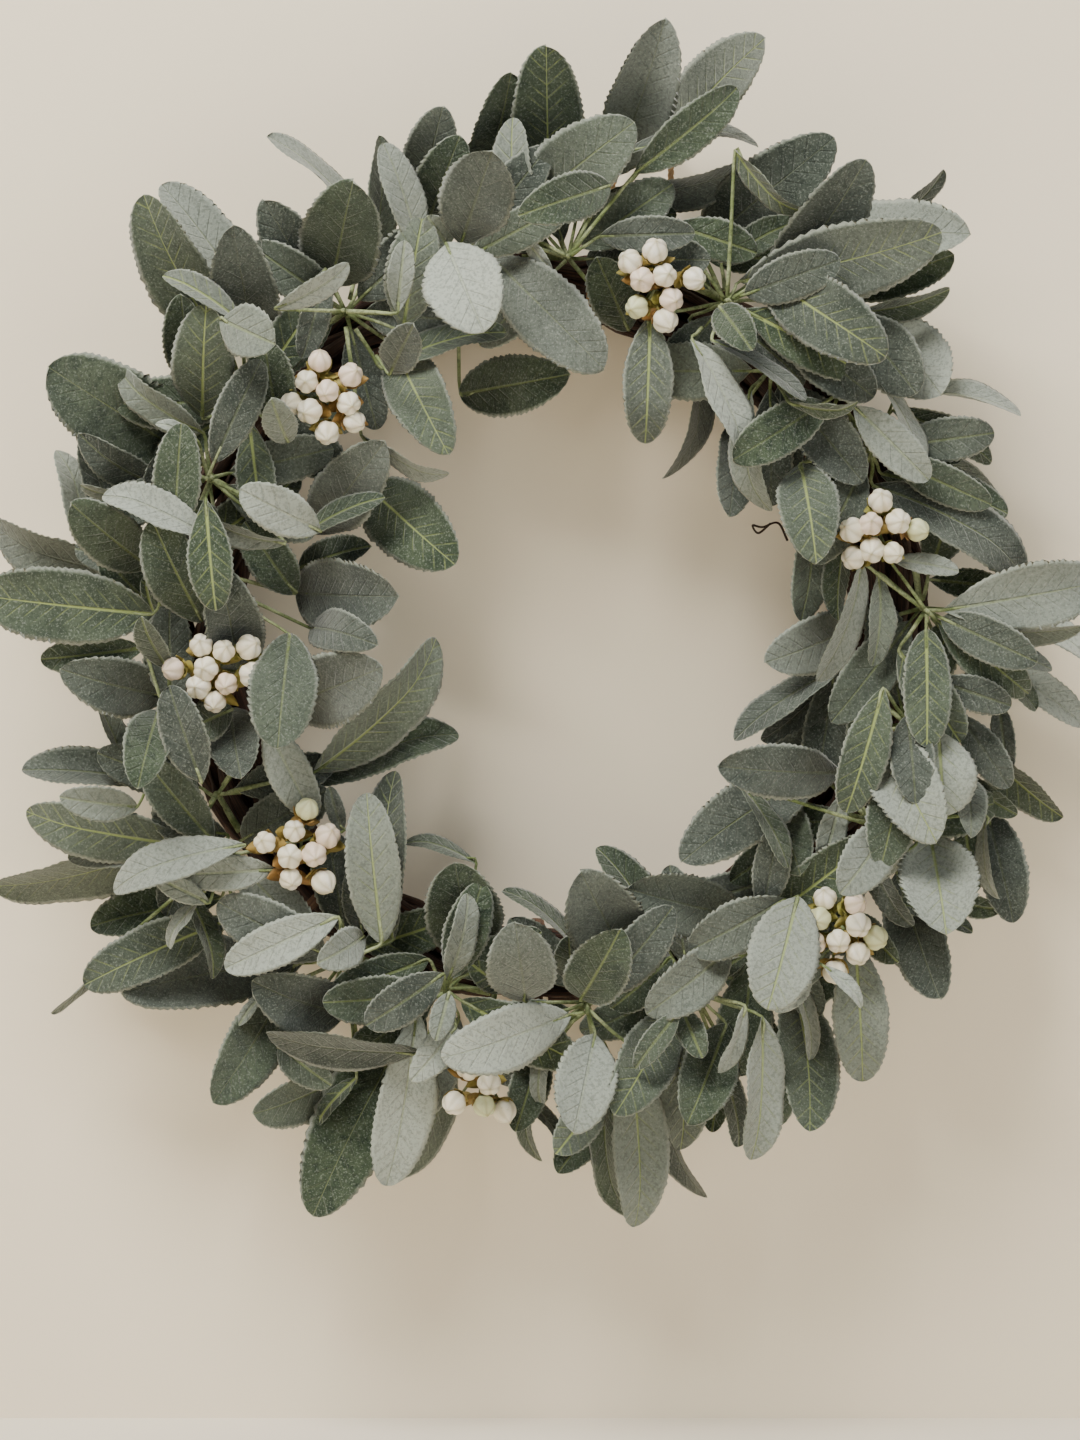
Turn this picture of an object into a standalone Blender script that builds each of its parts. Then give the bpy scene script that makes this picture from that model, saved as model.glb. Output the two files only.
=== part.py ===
"""Lamb's-ear door wreath on a grapevine ring: vines, bindings, leaf sprays, berry picks and a twine loop.

Metres, +Z up. The wreath hangs in the XZ plane, its front faces -Y and the door is on the +Y side.
The origin is where a door hanger's hook bears, under the top of the vine bundle.
"""

import math
import random

import bmesh
import bpy
from mathutils import Matrix, Vector
from mathutils.bvhtree import BVHTree

MM = 0.001

# Driving dimensions
RING_RADIUS = 175 * MM            # centre line of the vine bundle
VINE_RADIUS = 6.6 * MM            # one vine
VINE_GAP = 1.01 * MM              # between two vines
VINE_COUNT = 6                    # vines twisted round the core vine
VINE_TWIST = 3                    # turns of each vine round the bundle, per trip round the ring
VINE_OPEN_ANGLE = math.radians(9)  # between the two ends of one vine
BINDING_WIDTH = 6 * MM            # split-vine strip, along the ring
BINDING_THICKNESS = 2.4 * MM
BINDING_GAP = 1.0 * MM            # between the strip and the bundle
BINDING_EASE = math.cos(math.radians(14))  # the strip's faceted inside stays clear of the vines
BINDING_FLAT = 16 * MM            # flat run at the back, which rests on the door
BINDING_ANGLES = (67, 128, 182, 221, 268.5, 312.5)  # degrees from the top, clockwise from the front
TWINE_RADIUS = 1.5 * MM
TWINE_GAP = 0.8 * MM
LOOP_ANGLE = 12.0                 # degrees from the top, clockwise from the front
LOOP_HEIGHT = 66 * MM             # above the bundle's outer side
LOOP_HALF_WIDTH = 17 * MM
LOOP_FOOT, LOOP_BACK = 0.85, 0.55  # where the legs leave the wrap, outward and to the back, over its radius
LOOP_LEAN = 3 * MM                # the loop's top leans back by this
LOOP_NECK = 0.9                   # width between the legs, over the loop's own
LOOP_ROUND = 0.6                  # power of the sine that rounds the loop's top
LOOP_SWING = (-30, -60, -90, -120)  # degrees that the loop turns back through
STEM_RADIUS = 1.8 * MM
STALK_RADIUS = 1.0 * MM
STALK_TAPER = 0.75                # a stalk's radius where it leaves the stem, over its radius at the leaf
STEM_GAP = 0.5 * MM               # between a stem and the vines
STEM_REACHES = (4.8 * MM, 23.8 * MM, 44.8 * MM)  # a stem's points in front of the vines
STALK_PITCH = 2.7 * MM            # between two stalks along a stem
SPARE_TRIES = 60                  # tries for a stalk that clears its own spray before one that doesn't
STALK_SHARE = 0.6                 # share of a stalk, from its leaf, that should clear its own spray
STALK_SPAN = 37 * MM              # length of stem from which stalks leave
TUCK_EASE = 1.01                  # a tucked stem's distance from the bundle's middle, over touching
STEM_TUCK = 7.0                   # degrees of the ring along which a stem lies on the vines
LEAF_HALF_THICKNESS = 0.8 * MM
LEAF_GAP = 0.6 * MM               # kept round every leaf and stalk
HUB_CLEAR = 9 * MM                # from a stem's own line to the nearest leaf base in front view
FILLER_TURNS, FILLER_STEP = 9, 47.5  # tries for filler leaves round each stem, and degrees between them
FILLER_INNER, FILLER_OUTER = 125, 246  # where a filler leaf's tip may be, in mm from the ring's centre
STALK_CLEAR = 6 * MM              # length at a leaf's base that may touch its own spray
LEAF_SLENDERNESS = 2.15           # length over width
LEAF_HIDDEN = 0.45                # most that a leaf runs on under its neighbours, over its length in the plan
LEAF_MOST_LIFT = 42 * MM
FIRST_ROW, SECOND_ROW = 0.36, 0.72  # a leaf's two rows of points, as shares of its length
LAYER_DEPTH = 7.2 * MM            # how far behind the front of the vines the rearmost leaves start
LAYER_STEP = 13 * MM
LEAF_REACH = 76.8 * MM            # no leaf reaches further in front of the vines
DOOR_CLEARANCE = 2 * MM
BERRY_RADIUS = 6.1 * MM
BERRY_GAP = 0.7 * MM
BERRY_SPREAD = 0.62               # how far the berries spread round a pick's middle, over their pitch
PICK_REACH = 44.8 * MM            # a pick's middle in front of the vines
PICK_SLIDE, PICK_TRIES = math.radians(1), 20  # a pick moves along the ring by this to clear a stem
PICK_VIEW = 2.4                   # radius kept clear of leaves in front of a pick, in berry radii

VINE_SLOPE = math.atan(VINE_TWIST * 2 * VINE_RADIUS / (RING_RADIUS - 2 * VINE_RADIUS))
STRAND_PATH_RADIUS = 2 * VINE_RADIUS / math.cos(VINE_SLOPE) + VINE_GAP
BUNDLE_RADIUS = STRAND_PATH_RADIUS + VINE_RADIUS
BINDING_INNER = BUNDLE_RADIUS + BINDING_GAP
BACK = BINDING_INNER + BINDING_THICKNESS
STEM_FRONTS = tuple(BUNDLE_RADIUS + reach for reach in STEM_REACHES)
LAYER_BASE = BUNDLE_RADIUS - LAYER_DEPTH
MOST_FRONT = BUNDLE_RADIUS + LEAF_REACH
PICK_FRONT = BUNDLE_RADIUS + PICK_REACH
HOOK_SEAT = Vector((0, 0, RING_RADIUS - BUNDLE_RADIUS))

# The plan's ring radius, in mm; on another ring each entry below moves in or out with it
PLAN_RING = 175

# Hubs: (degrees from the top, distance from the ring's centre in mm), one stem each
HUBS = (
    (3, 188), (28, 188), (40, 172), (50, 188), (60, 186), (86, 188), (104, 186), (120, 188),
    (144, 180), (158, 192), (174, 188), (196, 186), (212, 192), (236, 196), (244, 186),
    (256, 194), (281, 188), (295, 186), (308, 190), (328, 190), (346, 190),
)

# Leaves, in mm from the ring's centre: (base x, base z, tip x, tip z, width, layer from the back)
LEAVES = (
    # from ten to twelve o'clock
    (-106, 217, -139, 249, 10, 1), (-90, 200, -84, 249, 14, 0), (-68, 206, -80, 243, 18, 2),
    (-60, 205, -44, 244, 28, 1), (-60, 226, -52, 260, 27, 0), (-43, 194, -27, 237, 36, 3),
    (-104, 188, -95, 221, 40, 2), (-118, 178, -137, 211, 28, 1), (-148, 160, -153, 200, 32, 2),
    (-160, 178, -193, 225, 25, 0), (-172, 163, -199, 216, 32, 1), (-162, 163, -187, 179, 12, 3),
    (-160, 157, -133, 145, 25, 4), (-180, 132, -182, 168, 22, 0), (-172, 108, -167, 162, 31, 2),
    (-185, 92, -245, 133, 46, 0), (-184, 110, -213, 130, 16, 2), (-178, 100, -191, 107, 6, 4),
    (-134, 162, -97, 183, 12, 4), (-110, 182, -121, 138, 15, 3), (-84, 138, -89, 197, 32, 3),
    (-74, 160, -70, 195, 13, 4), (-72, 152, -62, 206, 27, 2), (-78, 130, -65, 154, 19, 4),
    (-84, 115, -92, 147, 25, 3), (-134, 108, -139, 146, 24, 3), (-104, 136, -108, 154, 15, 2),
    (-128, 97, -134, 118, 17, 4),
    # twelve o'clock
    (-30, 238, -18, 277, 25, 0), (0, 236, -1, 290, 35, 0), (-14, 205, -18, 256, 19, 2),
    (-12, 212, 38, 250, 38, 1), (30, 222, -10, 208, 24, 3), (29, 218, 6, 184, 28, 2),
    (-14, 201, 2, 181, 7, 3), (-50, 194, -32, 152, 38, 4), (-22, 182, 27, 133, 36, 2),
    (-50, 194, -59, 207, 14, 4), (-66, 138, -21, 152, 14, 3), (-70, 130, -52, 97, 30, 2),
    (-44, 120, 5, 129, 30, 0), (40, 252, 57, 301, 33, 0), (70, 258, 105, 294, 30, 0),
    (52, 236, 93, 269, 22, 3), (58, 242, 102, 250, 10, 2), (42, 222, 99, 231, 16, 2),
    (90, 205, 137, 243, 36, 0), (92, 240, 122, 207, 9, 3), (122, 188, 154, 233, 33, 2),
    (30, 214, 64, 209, 14, 1), (34, 198, 72, 199, 18, 3), (62, 204, 103, 190, 20, 2),
    (40, 152, 24, 187, 24, 1), (70, 185, 88, 168, 20, 2),
    # from twelve to three o'clock
    (176, 210, 199, 231, 9, 0), (150, 195, 204, 200, 32, 1), (122, 182, 189, 197, 36, 3),
    (160, 178, 201, 189, 22, 0), (155, 163, 199, 172, 11, 2), (168, 158, 194, 120, 36, 0),
    (118, 170, 160, 141, 34, 4), (150, 160, 181, 121, 30, 2), (112, 156, 160, 119, 26, 1),
    (149, 137, 152, 128, 9, 4), (156, 137, 187, 80, 10, 3), (175, 120, 235, 111, 8, 2),
    (172, 112, 222, 88, 16, 1), (98, 150, 126, 126, 15, 2), (98, 161, 120, 152, 11, 1),
    (80, 188, 118, 188, 15, 0), (98, 192, 122, 206, 15, 1), (50, 152, 48, 97, 24, 4),
    (68, 166, 80, 137, 16, 4), (84, 163, 97, 144, 18, 4), (80, 147, 126, 118, 9, 3),
    (74, 140, 97, 92, 17, 4), (70, 138, 68, 78, 12, 1), (80, 138, 85, 78, 10, 3),
    (100, 114, 103, 63, 14, 3), (92, 92, 90, 60, 19, 1), (118, 128, 117, 70, 20, 1),
    (138, 124, 147, 71, 38, 4), (163, 100, 165, 64, 15, 4), (125, 86, 130, 44, 29, 3),
    (131, 48, 127, 7, 20, 1), (120, 116, 150, 113, 7, 4),
    # three o'clock
    (146, 0, 110, -11, 28, 1), (155, 37, 133, -21, 14, 4), (149, 45, 144, 8, 12, 2),
    (164, 32, 161, -14, 14, 3), (169, 39, 203, 33, 10, 4), (175, 68, 241, 33, 27, 2),
    (172, 79, 230, 62, 21, 1), (182, 102, 205, 88, 18, 0), (190, 86, 232, 64, 7, 0),
    (200, 14, 276, 28, 32, 3), (192, 27, 228, 24, 15, 0), (205, 6, 268, 4, 12, 1),
    (208, 1, 262, -25, 28, 1), (240, 3, 277, -12, 14, 0), (222, -11, 253, -16, 11, 2),
    (238, -24, 272, -46, 17, 0), (192, -21, 230, -34, 17, 4), (212, -14, 247, -36, 14, 1),
    (206, -40, 231, -76, 18, 2), (229, -35, 233, -70, 12, 0), (176, -9, 205, -52, 24, 3),
    (165, -24, 147, -85, 23, 4), (163, -47, 189, -96, 33, 3), (193, -46, 195, -87, 33, 4),
    (178, -38, 180, -78, 22, 1), (144, -14, 134, -77, 23, 2), (135, -22, 92, -50, 14, 3),
    (138, -27, 108, -54, 16, 1), (127, -66, 84, -61, 27, 3), (230, -66, 262, -95, 17, 0),
    (214, -76, 236, -91, 13, 1), (207, -76, 210, -93, 17, 2),
    # from three to six o'clock
    (147, -78, 137, -113, 14, 3), (114, -82, 67, -109, 29, 2), (95, -72, 119, -113, 11, 4),
    (114, -82, 125, -116, 24, 1), (120, -106, 92, -124, 18, 0), (117, -124, 66, -137, 21, 1),
    (118, -130, 70, -155, 25, 3), (124, -128, 108, -179, 34, 4), (96, -162, 66, -165, 7, 2),
    (130, -168, 115, -183, 14, 3), (170, -91, 145, -121, 25, 4), (183, -101, 152, -123, 9, 4),
    (191, -101, 195, -141, 38, 3), (209, -90, 215, -130, 15, 1), (224, -95, 234, -142, 26, 0),
    (205, -133, 227, -140, 12, 1), (219, -90, 222, -132, 6, 2), (182, -139, 213, -148, 9, 2),
    (183, -140, 194, -178, 28, 1), (166, -118, 180, -145, 13, 3), (162, -148, 173, -161, 14, 2),
    (142, -157, 126, -176, 11, 4), (136, -172, 141, -212, 21, 3), (125, -184, 133, -213, 9, 2),
    (127, -200, 131, -245, 29, 1), (155, -166, 158, -223, 27, 3), (142, -166, 155, -178, 7, 4),
    (106, -200, 103, -260, 20, 4), (98, -183, 85, -216, 9, 4), (114, -212, 119, -250, 17, 1),
    (91, -232, 99, -263, 13, 0), (90, -230, 84, -257, 13, 0), (95, -167, 79, -176, 10, 1),
    (89, -199, 70, -238, 28, 2), (66, -183, 76, -206, 14, 4), (62, -164, 32, -186, 21, 1),
    # six o'clock
    (64, -206, 70, -262, 24, 1), (62, -245, 78, -291, 12, 0), (55, -202, 35, -230, 30, 3),
    (60, -190, 43, -211, 12, 4), (43, -235, 47, -297, 28, 3), (32, -250, 38, -297, 14, 1),
    (34, -240, 26, -266, 13, 2), (-6, -242, 11, -264, 7, 1), (-10, -240, -9, -271, 8, 0),
    (28, -250, 5, -273, 19, 0), (20, -238, 4, -255, 20, 3), (-7, -220, -16, -246, 20, 1),
    (-3, -214, -5, -234, 9, 3), (23, -199, 13, -240, 30, 4), (-4, -193, -48, -204, 31, 4),
    (-20, -178, -37, -164, 15, 2), (14, -170, 10, -150, 17, 1), (16, -180, 35, -141, 29, 4),
    (40, -164, 16, -114, 38, 2), (52, -147, 27, -107, 18, 0), (7, -156, -21, -128, 7, 1),
    (-11, -181, -16, -138, 34, 4), (-38, -165, -46, -113, 38, 0), (-48, -163, -39, -127, 14, 4),
    (-60, -158, -73, -115, 34, 2), (-46, -113, -71, -103, 6, 1), (-52, -166, -90, -191, 21, 4),
    (-49, -175, -55, -196, 12, 4), (-60, -162, -108, -178, 21, 2), (-48, -198, -65, -216, 17, 3),
    (-52, -212, -67, -246, 19, 1), (-70, -214, -80, -276, 29, 3), (-58, -234, -74, -282, 11, 0),
    (-82, -224, -118, -289, 42, 0),
    # from six to nine o'clock
    (-92, -150, -112, -158, 19, 3), (-70, -206, -140, -198, 19, 3), (-103, -192, -142, -172, 31, 2),
    (-122, -212, -103, -218, 10, 0), (-136, -206, -109, -223, 18, 2), (-112, -228, -146, -238, 26, 1),
    (-103, -231, -117, -246, 8, 1), (-141, -190, -166, -231, 30, 1), (-148, -186, -155, -195, 6, 2),
    (-138, -158, -162, -176, 24, 2), (-104, -138, -160, -163, 21, 4), (-152, -172, -212, -177, 34, 0),
    (-178, -138, -166, -170, 10, 3), (-180, -152, -233, -175, 27, 2), (-232, -172, -251, -192, 4, 2),
    (-178, -136, -190, -151, 7, 4), (-182, -139, -233, -149, 22, 0), (-170, -137, -209, -129, 21, 1),
    (-168, -131, -194, -117, 12, 4), (-136, -115, -184, -117, 17, 2), (-150, -102, -216, -121, 19, 3),
    (-162, -102, -198, -92, 19, 1), (-206, -112, -241, -111, 14, 1), (-206, -108, -282, -130, 26, 0),
    (-204, -102, -258, -90, 28, 2), (-211, -84, -241, -78, 17, 3), (-213, -73, -265, -68, 17, 1),
    (-214, -72, -229, -33, 8, 0), (-84, -140, -90, -78, 27, 4), (-78, -138, -78, -68, 24, 2),
    (-103, -98, -109, -75, 9, 4), (-95, -145, -98, -118, 15, 1), (-100, -68, -48, -46, 22, 1),
    (-97, -50, -52, -8, 26, 2), (-141, -42, -117, -90, 21, 4), (-160, -38, -152, -68, 27, 1),
    (-175, -43, -170, -90, 17, 3), (-158, -37, -187, -48, 20, 2), (-192, -46, -180, -92, 13, 1),
    (-168, -72, -138, -100, 10, 2), (-194, -36, -200, -70, 24, 0),
    # from nine to ten o'clock
    (-235, 45, -243, 92, 15, 0), (-223, 62, -232, 100, 17, 1), (-203, 80, -229, 97, 19, 2),
    (-190, 56, -192, 90, 20, 2), (-167, 51, -216, 74, 16, 4), (-213, 72, -231, 75, 6, 3),
    (-203, 38, -231, 66, 28, 2), (-224, 34, -282, 50, 26, 0), (-202, 12, -281, 21, 35, 3),
    (-204, -6, -252, -11, 18, 2), (-192, -8, -199, 10, 14, 4), (-192, -32, -236, -17, 30, 1),
    (-172, 8, -193, 58, 29, 3), (-198, 12, -221, 40, 20, 1), (-196, 8, -201, 30, 7, 2),
    (-157, -8, -160, 32, 27, 4), (-132, 2, -157, 50, 18, 3), (-127, 20, -151, 57, 22, 1),
    (-126, 4, -127, 38, 13, 4), (-125, 11, -104, 9, 9, 4), (-112, 53, -150, 74, 22, 4),
    (-130, 47, -167, 58, 10, 3), (-165, 57, -178, 67, 13, 3), (-110, 56, -81, 70, 11, 2),
    (-112, 20, -76, 21, 36, 1), (-134, -4, -98, -5, 17, 4), (-110, 2, -88, 0, 20, 2),
    (-108, 62, -82, 95, 31, 1), (-80, 93, -52, 77, 8, 3), (-84, 68, -48, 38, 36, 0),
    (-115, 36, -90, 45, 16, 0), (-129, -8, -132, -50, 34, 3), (-118, -30, -83, -14, 36, 2),
)

# Berry picks: (middle x, middle z in mm from the ring's centre, berries in the pick)
BERRY_PICKS = (
    (53, 175, 8), (-109, 117, 9), (163, 52, 8), (-163, -16, 9), (-122, -105, 8), (147, -145, 9),
    (-34, -230, 5),
)

COLOURS = {
    "vine": (0.075, 0.038, 0.025, 1), "binding": (0.10, 0.055, 0.032, 1), "twine": (0.52, 0.34, 0.18, 1),
    "leaf": (0.30, 0.36, 0.31, 1), "berry": (0.80, 0.74, 0.62, 1),
}


def finish(name, bm_vertices, faces, colour, roughness=0.85):
    """Makes the named object, its vertices measured from the ring's centre, with its own material."""
    mesh = bpy.data.meshes.new(name)
    mesh.from_pydata([v - HOOK_SEAT for v in bm_vertices], [], faces)
    mesh.validate()
    material = bpy.data.materials.new(name)
    material.use_nodes = True
    shader = material.node_tree.nodes["Principled BSDF"]
    shader.inputs["Base Color"].default_value = COLOURS[colour]
    shader.inputs["Roughness"].default_value = roughness
    material.diffuse_color = COLOURS[colour]
    mesh.materials.append(material)
    obj = bpy.data.objects.new(name, mesh)
    bpy.context.scene.collection.objects.link(obj)
    return obj


def tube(path, radii, sides, start=0.0):
    """A closed tube along a path: (vertices, faces), one radius for each point, with the ends capped."""
    last = len(path) - 1
    tangents = [(path[min(i + 1, last)] - path[max(i - 1, 0)]).normalized() for i in range(last + 1)]
    across = tangents[0].orthogonal().normalized()
    vertices, faces = [], []
    for i, point in enumerate(path):
        across = (across - tangents[i] * across.dot(tangents[i])).normalized()
        up = tangents[i].cross(across)
        for k in range(sides):
            turn = start + 2 * math.pi * k / sides
            vertices.append(point + (across * math.cos(turn) + up * math.sin(turn)) * radii[i])
    for i in range(len(path) - 1):
        for k in range(sides):
            a, b = i * sides + k, i * sides + (k + 1) % sides
            faces.append((a, b, b + sides, a + sides))
    faces.append(tuple(reversed(range(sides))))
    faces.append(tuple(range((len(path) - 1) * sides, len(path) * sides)))
    return vertices, faces


def closed_ribbon(section_of, count):
    """A closed ring of sections, each a list of points going round: (vertices, faces)."""
    sections = [section_of(i) for i in range(count)]
    size = len(sections[0])
    vertices = [p for section in sections for p in section]
    faces = []
    for i in range(count):
        j = (i + 1) % count
        for k in range(size):
            m = (k + 1) % size
            faces.append((i * size + k, i * size + m, j * size + m, j * size + k))
    return vertices, faces


def ring_frame(angle):
    """The bundle's centre, outward direction and tangent, at an angle clockwise from the top."""
    outward = Vector((math.sin(angle), 0, math.cos(angle)))
    return outward * RING_RADIUS, outward, Vector((math.cos(angle), 0, -math.sin(angle)))


def bundle_point(angle, around, radius):
    """A point at this radius from the bundle's centre line; around is 0 outward and pi/2 in front."""
    centre, outward, _ = ring_frame(angle)
    return centre + (outward * math.cos(around) + Vector((0, -1, 0)) * math.sin(around)) * radius


def vine(index):
    """Vine 0 is the core; each other vine is an open helix in its own lane round it."""
    start = math.radians(60) * index + VINE_OPEN_ANGLE
    span = 2 * math.pi - VINE_OPEN_ANGLE
    steps = 30
    path = []
    for i in range(steps + 1):
        angle = start + span * i / steps
        lane = 2 * math.pi * index / VINE_COUNT + VINE_TWIST * angle
        path.append(bundle_point(angle, lane, STRAND_PATH_RADIUS if index else 0))
    name = f"vine_strand_{index}" if index else "vine_core"
    vertices, faces = tube(path, [VINE_RADIUS] * len(path), 5)
    return finish(name, vertices, faces, "vine", 0.8)


def binding_outline(radius):
    """A loop round the bundle at this radius, flat at the back: points as (outward, backward)."""
    flat_start = math.asin(BINDING_FLAT / 2 / radius)
    turns = 10
    points = []
    for i in range(turns + 1):
        turn = flat_start + (2 * math.pi - 2 * flat_start) * i / turns
        points.append((radius * math.sin(turn), radius * math.cos(turn)))
    depth = radius
    points[0] = (BINDING_FLAT / 2, depth)
    points[-1] = (-BINDING_FLAT / 2, depth)
    return points


def binding(index, degrees):
    """A split-vine strip bound once round the bundle."""
    centre, outward, tangent = ring_frame(math.radians(degrees))
    inner = binding_outline(BINDING_INNER / BINDING_EASE)
    outer = binding_outline(BINDING_INNER / BINDING_EASE + BINDING_THICKNESS)

    def section(i):
        """The strip's four corners at one point of the loop."""
        corners = []
        for outline, side in ((inner, -1), (outer, -1), (outer, 1), (inner, 1)):
            out, back = outline[i]
            place = centre + outward * out + Vector((0, 1, 0)) * back
            corners.append(place + tangent * side * BINDING_WIDTH / 2)
        return corners

    vertices, faces = closed_ribbon(section, len(inner))
    return finish(f"vine_binding_{index}", vertices, faces, "binding", 0.8)


def loop_path():
    """The twine loop's outline: up from the bundle, round at the top and down again."""
    centre, outward, tangent = ring_frame(math.radians(LOOP_ANGLE))
    wrap = BUNDLE_RADIUS + TWINE_GAP + TWINE_RADIUS
    foot = wrap * LOOP_FOOT
    back = Vector((0, 1, 0)) * (wrap * LOOP_BACK)
    points = []
    steps = 16
    for i in range(steps + 1):
        turn = math.pi * i / steps
        rise = foot + (BUNDLE_RADIUS + LOOP_HEIGHT - foot) * math.sin(turn) ** LOOP_ROUND
        lean = Vector((0, 1, 0)) * (LOOP_LEAN * math.sin(turn))
        slide = tangent * LOOP_HALF_WIDTH * math.cos(turn) * LOOP_NECK
        points.append(centre + outward * rise + back + lean - slide)
    return points


def hanging_loop():
    """Jute twine: a wrap round the bundle and a loop that stands up behind the top leaves."""
    centre, outward, tangent = ring_frame(math.radians(LOOP_ANGLE))
    wrap = (BUNDLE_RADIUS + TWINE_GAP) / math.cos(math.pi / 16) + TWINE_RADIUS * 1.1
    count, sides = 18, 6

    def section(i):
        """One section of the wrap, which is wide enough along the ring to take both legs of the loop."""
        turn = 2 * math.pi * i / count
        radial = outward * math.cos(turn) + Vector((0, 1, 0)) * math.sin(turn)
        ring = centre + radial * wrap
        slack = LOOP_HALF_WIDTH * LOOP_NECK
        width = slack + TWINE_RADIUS if -0.1 < turn < 1.2 else TWINE_RADIUS * 1.6
        return [ring + radial * TWINE_RADIUS * math.sin(2 * math.pi * k / sides)
                + tangent * width * math.cos(2 * math.pi * k / sides) for k in range(sides)]

    vertices, faces = closed_ribbon(section, count)
    wrap_object = finish("hanging_loop", vertices, faces, "twine", 0.9)
    path = loop_path()
    loop_vertices, loop_faces = tube(path, [TWINE_RADIUS] * len(path), 6)
    return wrap_object, (loop_vertices, loop_faces)


def outward_faces(obj):
    """Turns every face of an object outwards."""
    bm = bmesh.new()
    bm.from_mesh(obj.data)
    bmesh.ops.recalc_face_normals(bm, faces=bm.faces)
    bm.to_mesh(obj.data)
    bm.free()


def fill_hollows(mesh):
    """Makes a closed-in hollow between joined stalks solid, by removing its inward-facing skin."""
    bm = bmesh.new()
    bm.from_mesh(mesh)
    unseen = set(bm.faces)
    while unseen:
        shell, front = set(), [unseen.pop()]
        while front:
            face = front.pop()
            shell.add(face)
            for edge in face.edges:
                for other in edge.link_faces:
                    if other in unseen:
                        unseen.remove(other)
                        front.append(other)
        volume = sum(face.calc_center_median().dot(face.normal) * face.calc_area() for face in shell)
        if volume < 0:
            bmesh.ops.delete(bm, geom=list(shell), context="FACES")
    bm.to_mesh(mesh)
    bm.free()


def union(obj, shapes):
    """Joins shapes, (vertices, faces) from the ring's centre, to an object with an applied Boolean."""
    group = bpy.data.collections.new(obj.name + "_shapes")
    helpers = [finish(f"{obj.name}_shape_{i}", v, f, "leaf") for i, (v, f) in enumerate(shapes)]
    for helper in helpers:
        outward_faces(helper)
        bpy.context.scene.collection.objects.unlink(helper)
        group.objects.link(helper)
    modifier = obj.modifiers.new("join", "BOOLEAN")
    modifier.operation = "UNION"
    modifier.solver = "MANIFOLD"
    modifier.operand_type = "COLLECTION"
    modifier.collection = group
    graph = bpy.context.evaluated_depsgraph_get()
    joined = bpy.data.meshes.new_from_object(obj.evaluated_get(graph))
    obj.modifiers.clear()
    fill_hollows(joined)
    material = obj.data.materials[0]
    obj.data = joined
    obj.data.name = obj.name
    obj.data.materials.clear()
    obj.data.materials.append(material)
    for helper in helpers:
        helper_material = helper.data.materials[0]
        bpy.data.meshes.remove(helper.data)
        bpy.data.materials.remove(helper_material)
    bpy.data.collections.remove(group)
    return obj


def leaf_loft(start, base, pose, bend, cup, half=LEAF_HALF_THICKNESS, grow=0.0, reach_back=1.0):
    """A leaf and its stalk as one loft of four-cornered sections (left, front, right, back) up to the tip.

    The stalk runs from start to the base. With reach_back under 1 the loft starts nearer to the base.
    """
    along, across, normal, length, width = pose

    def middle(t):
        return base + along * length * t + normal * bend * length * 4 * t * (1 - t)

    def corners(centre, forward, side, front, lift):
        turn = along.rotation_difference(forward)
        left, up = turn @ across, turn @ normal
        return [centre - left * side + up * lift, centre + up * front, centre + left * side + up * lift,
                centre - up * front]

    first = base.lerp(start, reach_back)
    incoming = (base - first).normalized() if (base - first).length > 0.1 * MM else along
    stalk = STALK_RADIUS + grow
    vertices = corners(first, incoming, stalk * STALK_TAPER, stalk * STALK_TAPER, 0)
    vertices += corners(base, (incoming + along).normalized(), stalk, stalk, 0)
    for t, share in ((FIRST_ROW, 0.86), (SECOND_ROW, 0.96)):
        reach = width / 2 * share + grow
        vertices += corners(middle(t), along, reach, half, cup * reach)
    vertices.append(middle(1.0) + along * grow)
    faces = [(3, 2, 1, 0)]
    for row in range(0, 12, 4):
        for k in range(4):
            m = (k + 1) % 4
            faces.append((row + k, row + m, row + 4 + m, row + 4 + k))
    faces += [(12 + k, 12 + (k + 1) % 4, 16) for k in range(4)]
    return vertices, faces


def tree_of(shape):
    return BVHTree.FromPolygons([tuple(v) for v in shape[0]], shape[1])


def box_of(shape):
    xs, ys, zs = zip(*shape[0])
    return (min(xs), min(ys), min(zs)), (max(xs), max(ys), max(zs))


class Placed:
    """What is already in place, so that a new piece can be tried against it."""

    def __init__(self):
        self.items = []

    def add(self, shape, owner):
        self.items.append((tree_of(shape), box_of(shape), owner))

    def hits(self, shape, owner, own_too=True):
        tree, (low, high) = tree_of(shape), box_of(shape)
        for other, (other_low, other_high), other_owner in self.items:
            if other_owner == owner and not own_too:
                continue
            if any(low[i] > other_high[i] or high[i] < other_low[i] for i in range(3)):
                continue
            if tree.overlap(other):
                return True
        return False


def hub_point(hub, front):
    degrees, reach = HUBS[hub]
    angle, reach = math.radians(degrees), reach * MM + RING_RADIUS - PLAN_RING * MM
    return Vector((math.sin(angle) * reach, -front, math.cos(angle) * reach))


def moved_with_ring(entry):
    """A leaf's entry, moved in or out by as much as the ring's radius differs from the plan's."""
    base_x, base_z, tip_x, tip_z, width, layer = entry
    share = (RING_RADIUS / MM - PLAN_RING) / math.hypot(base_x, base_z)
    shift_x, shift_z = base_x * share, base_z * share
    return base_x + shift_x, base_z + shift_z, tip_x + shift_x, tip_z + shift_z, width, layer


def hubs_near(place):
    """The hubs in order of distance from a leaf's base."""
    return sorted(range(len(HUBS)), key=lambda hub: (hub_point(hub, 0) - place).length)


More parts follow.
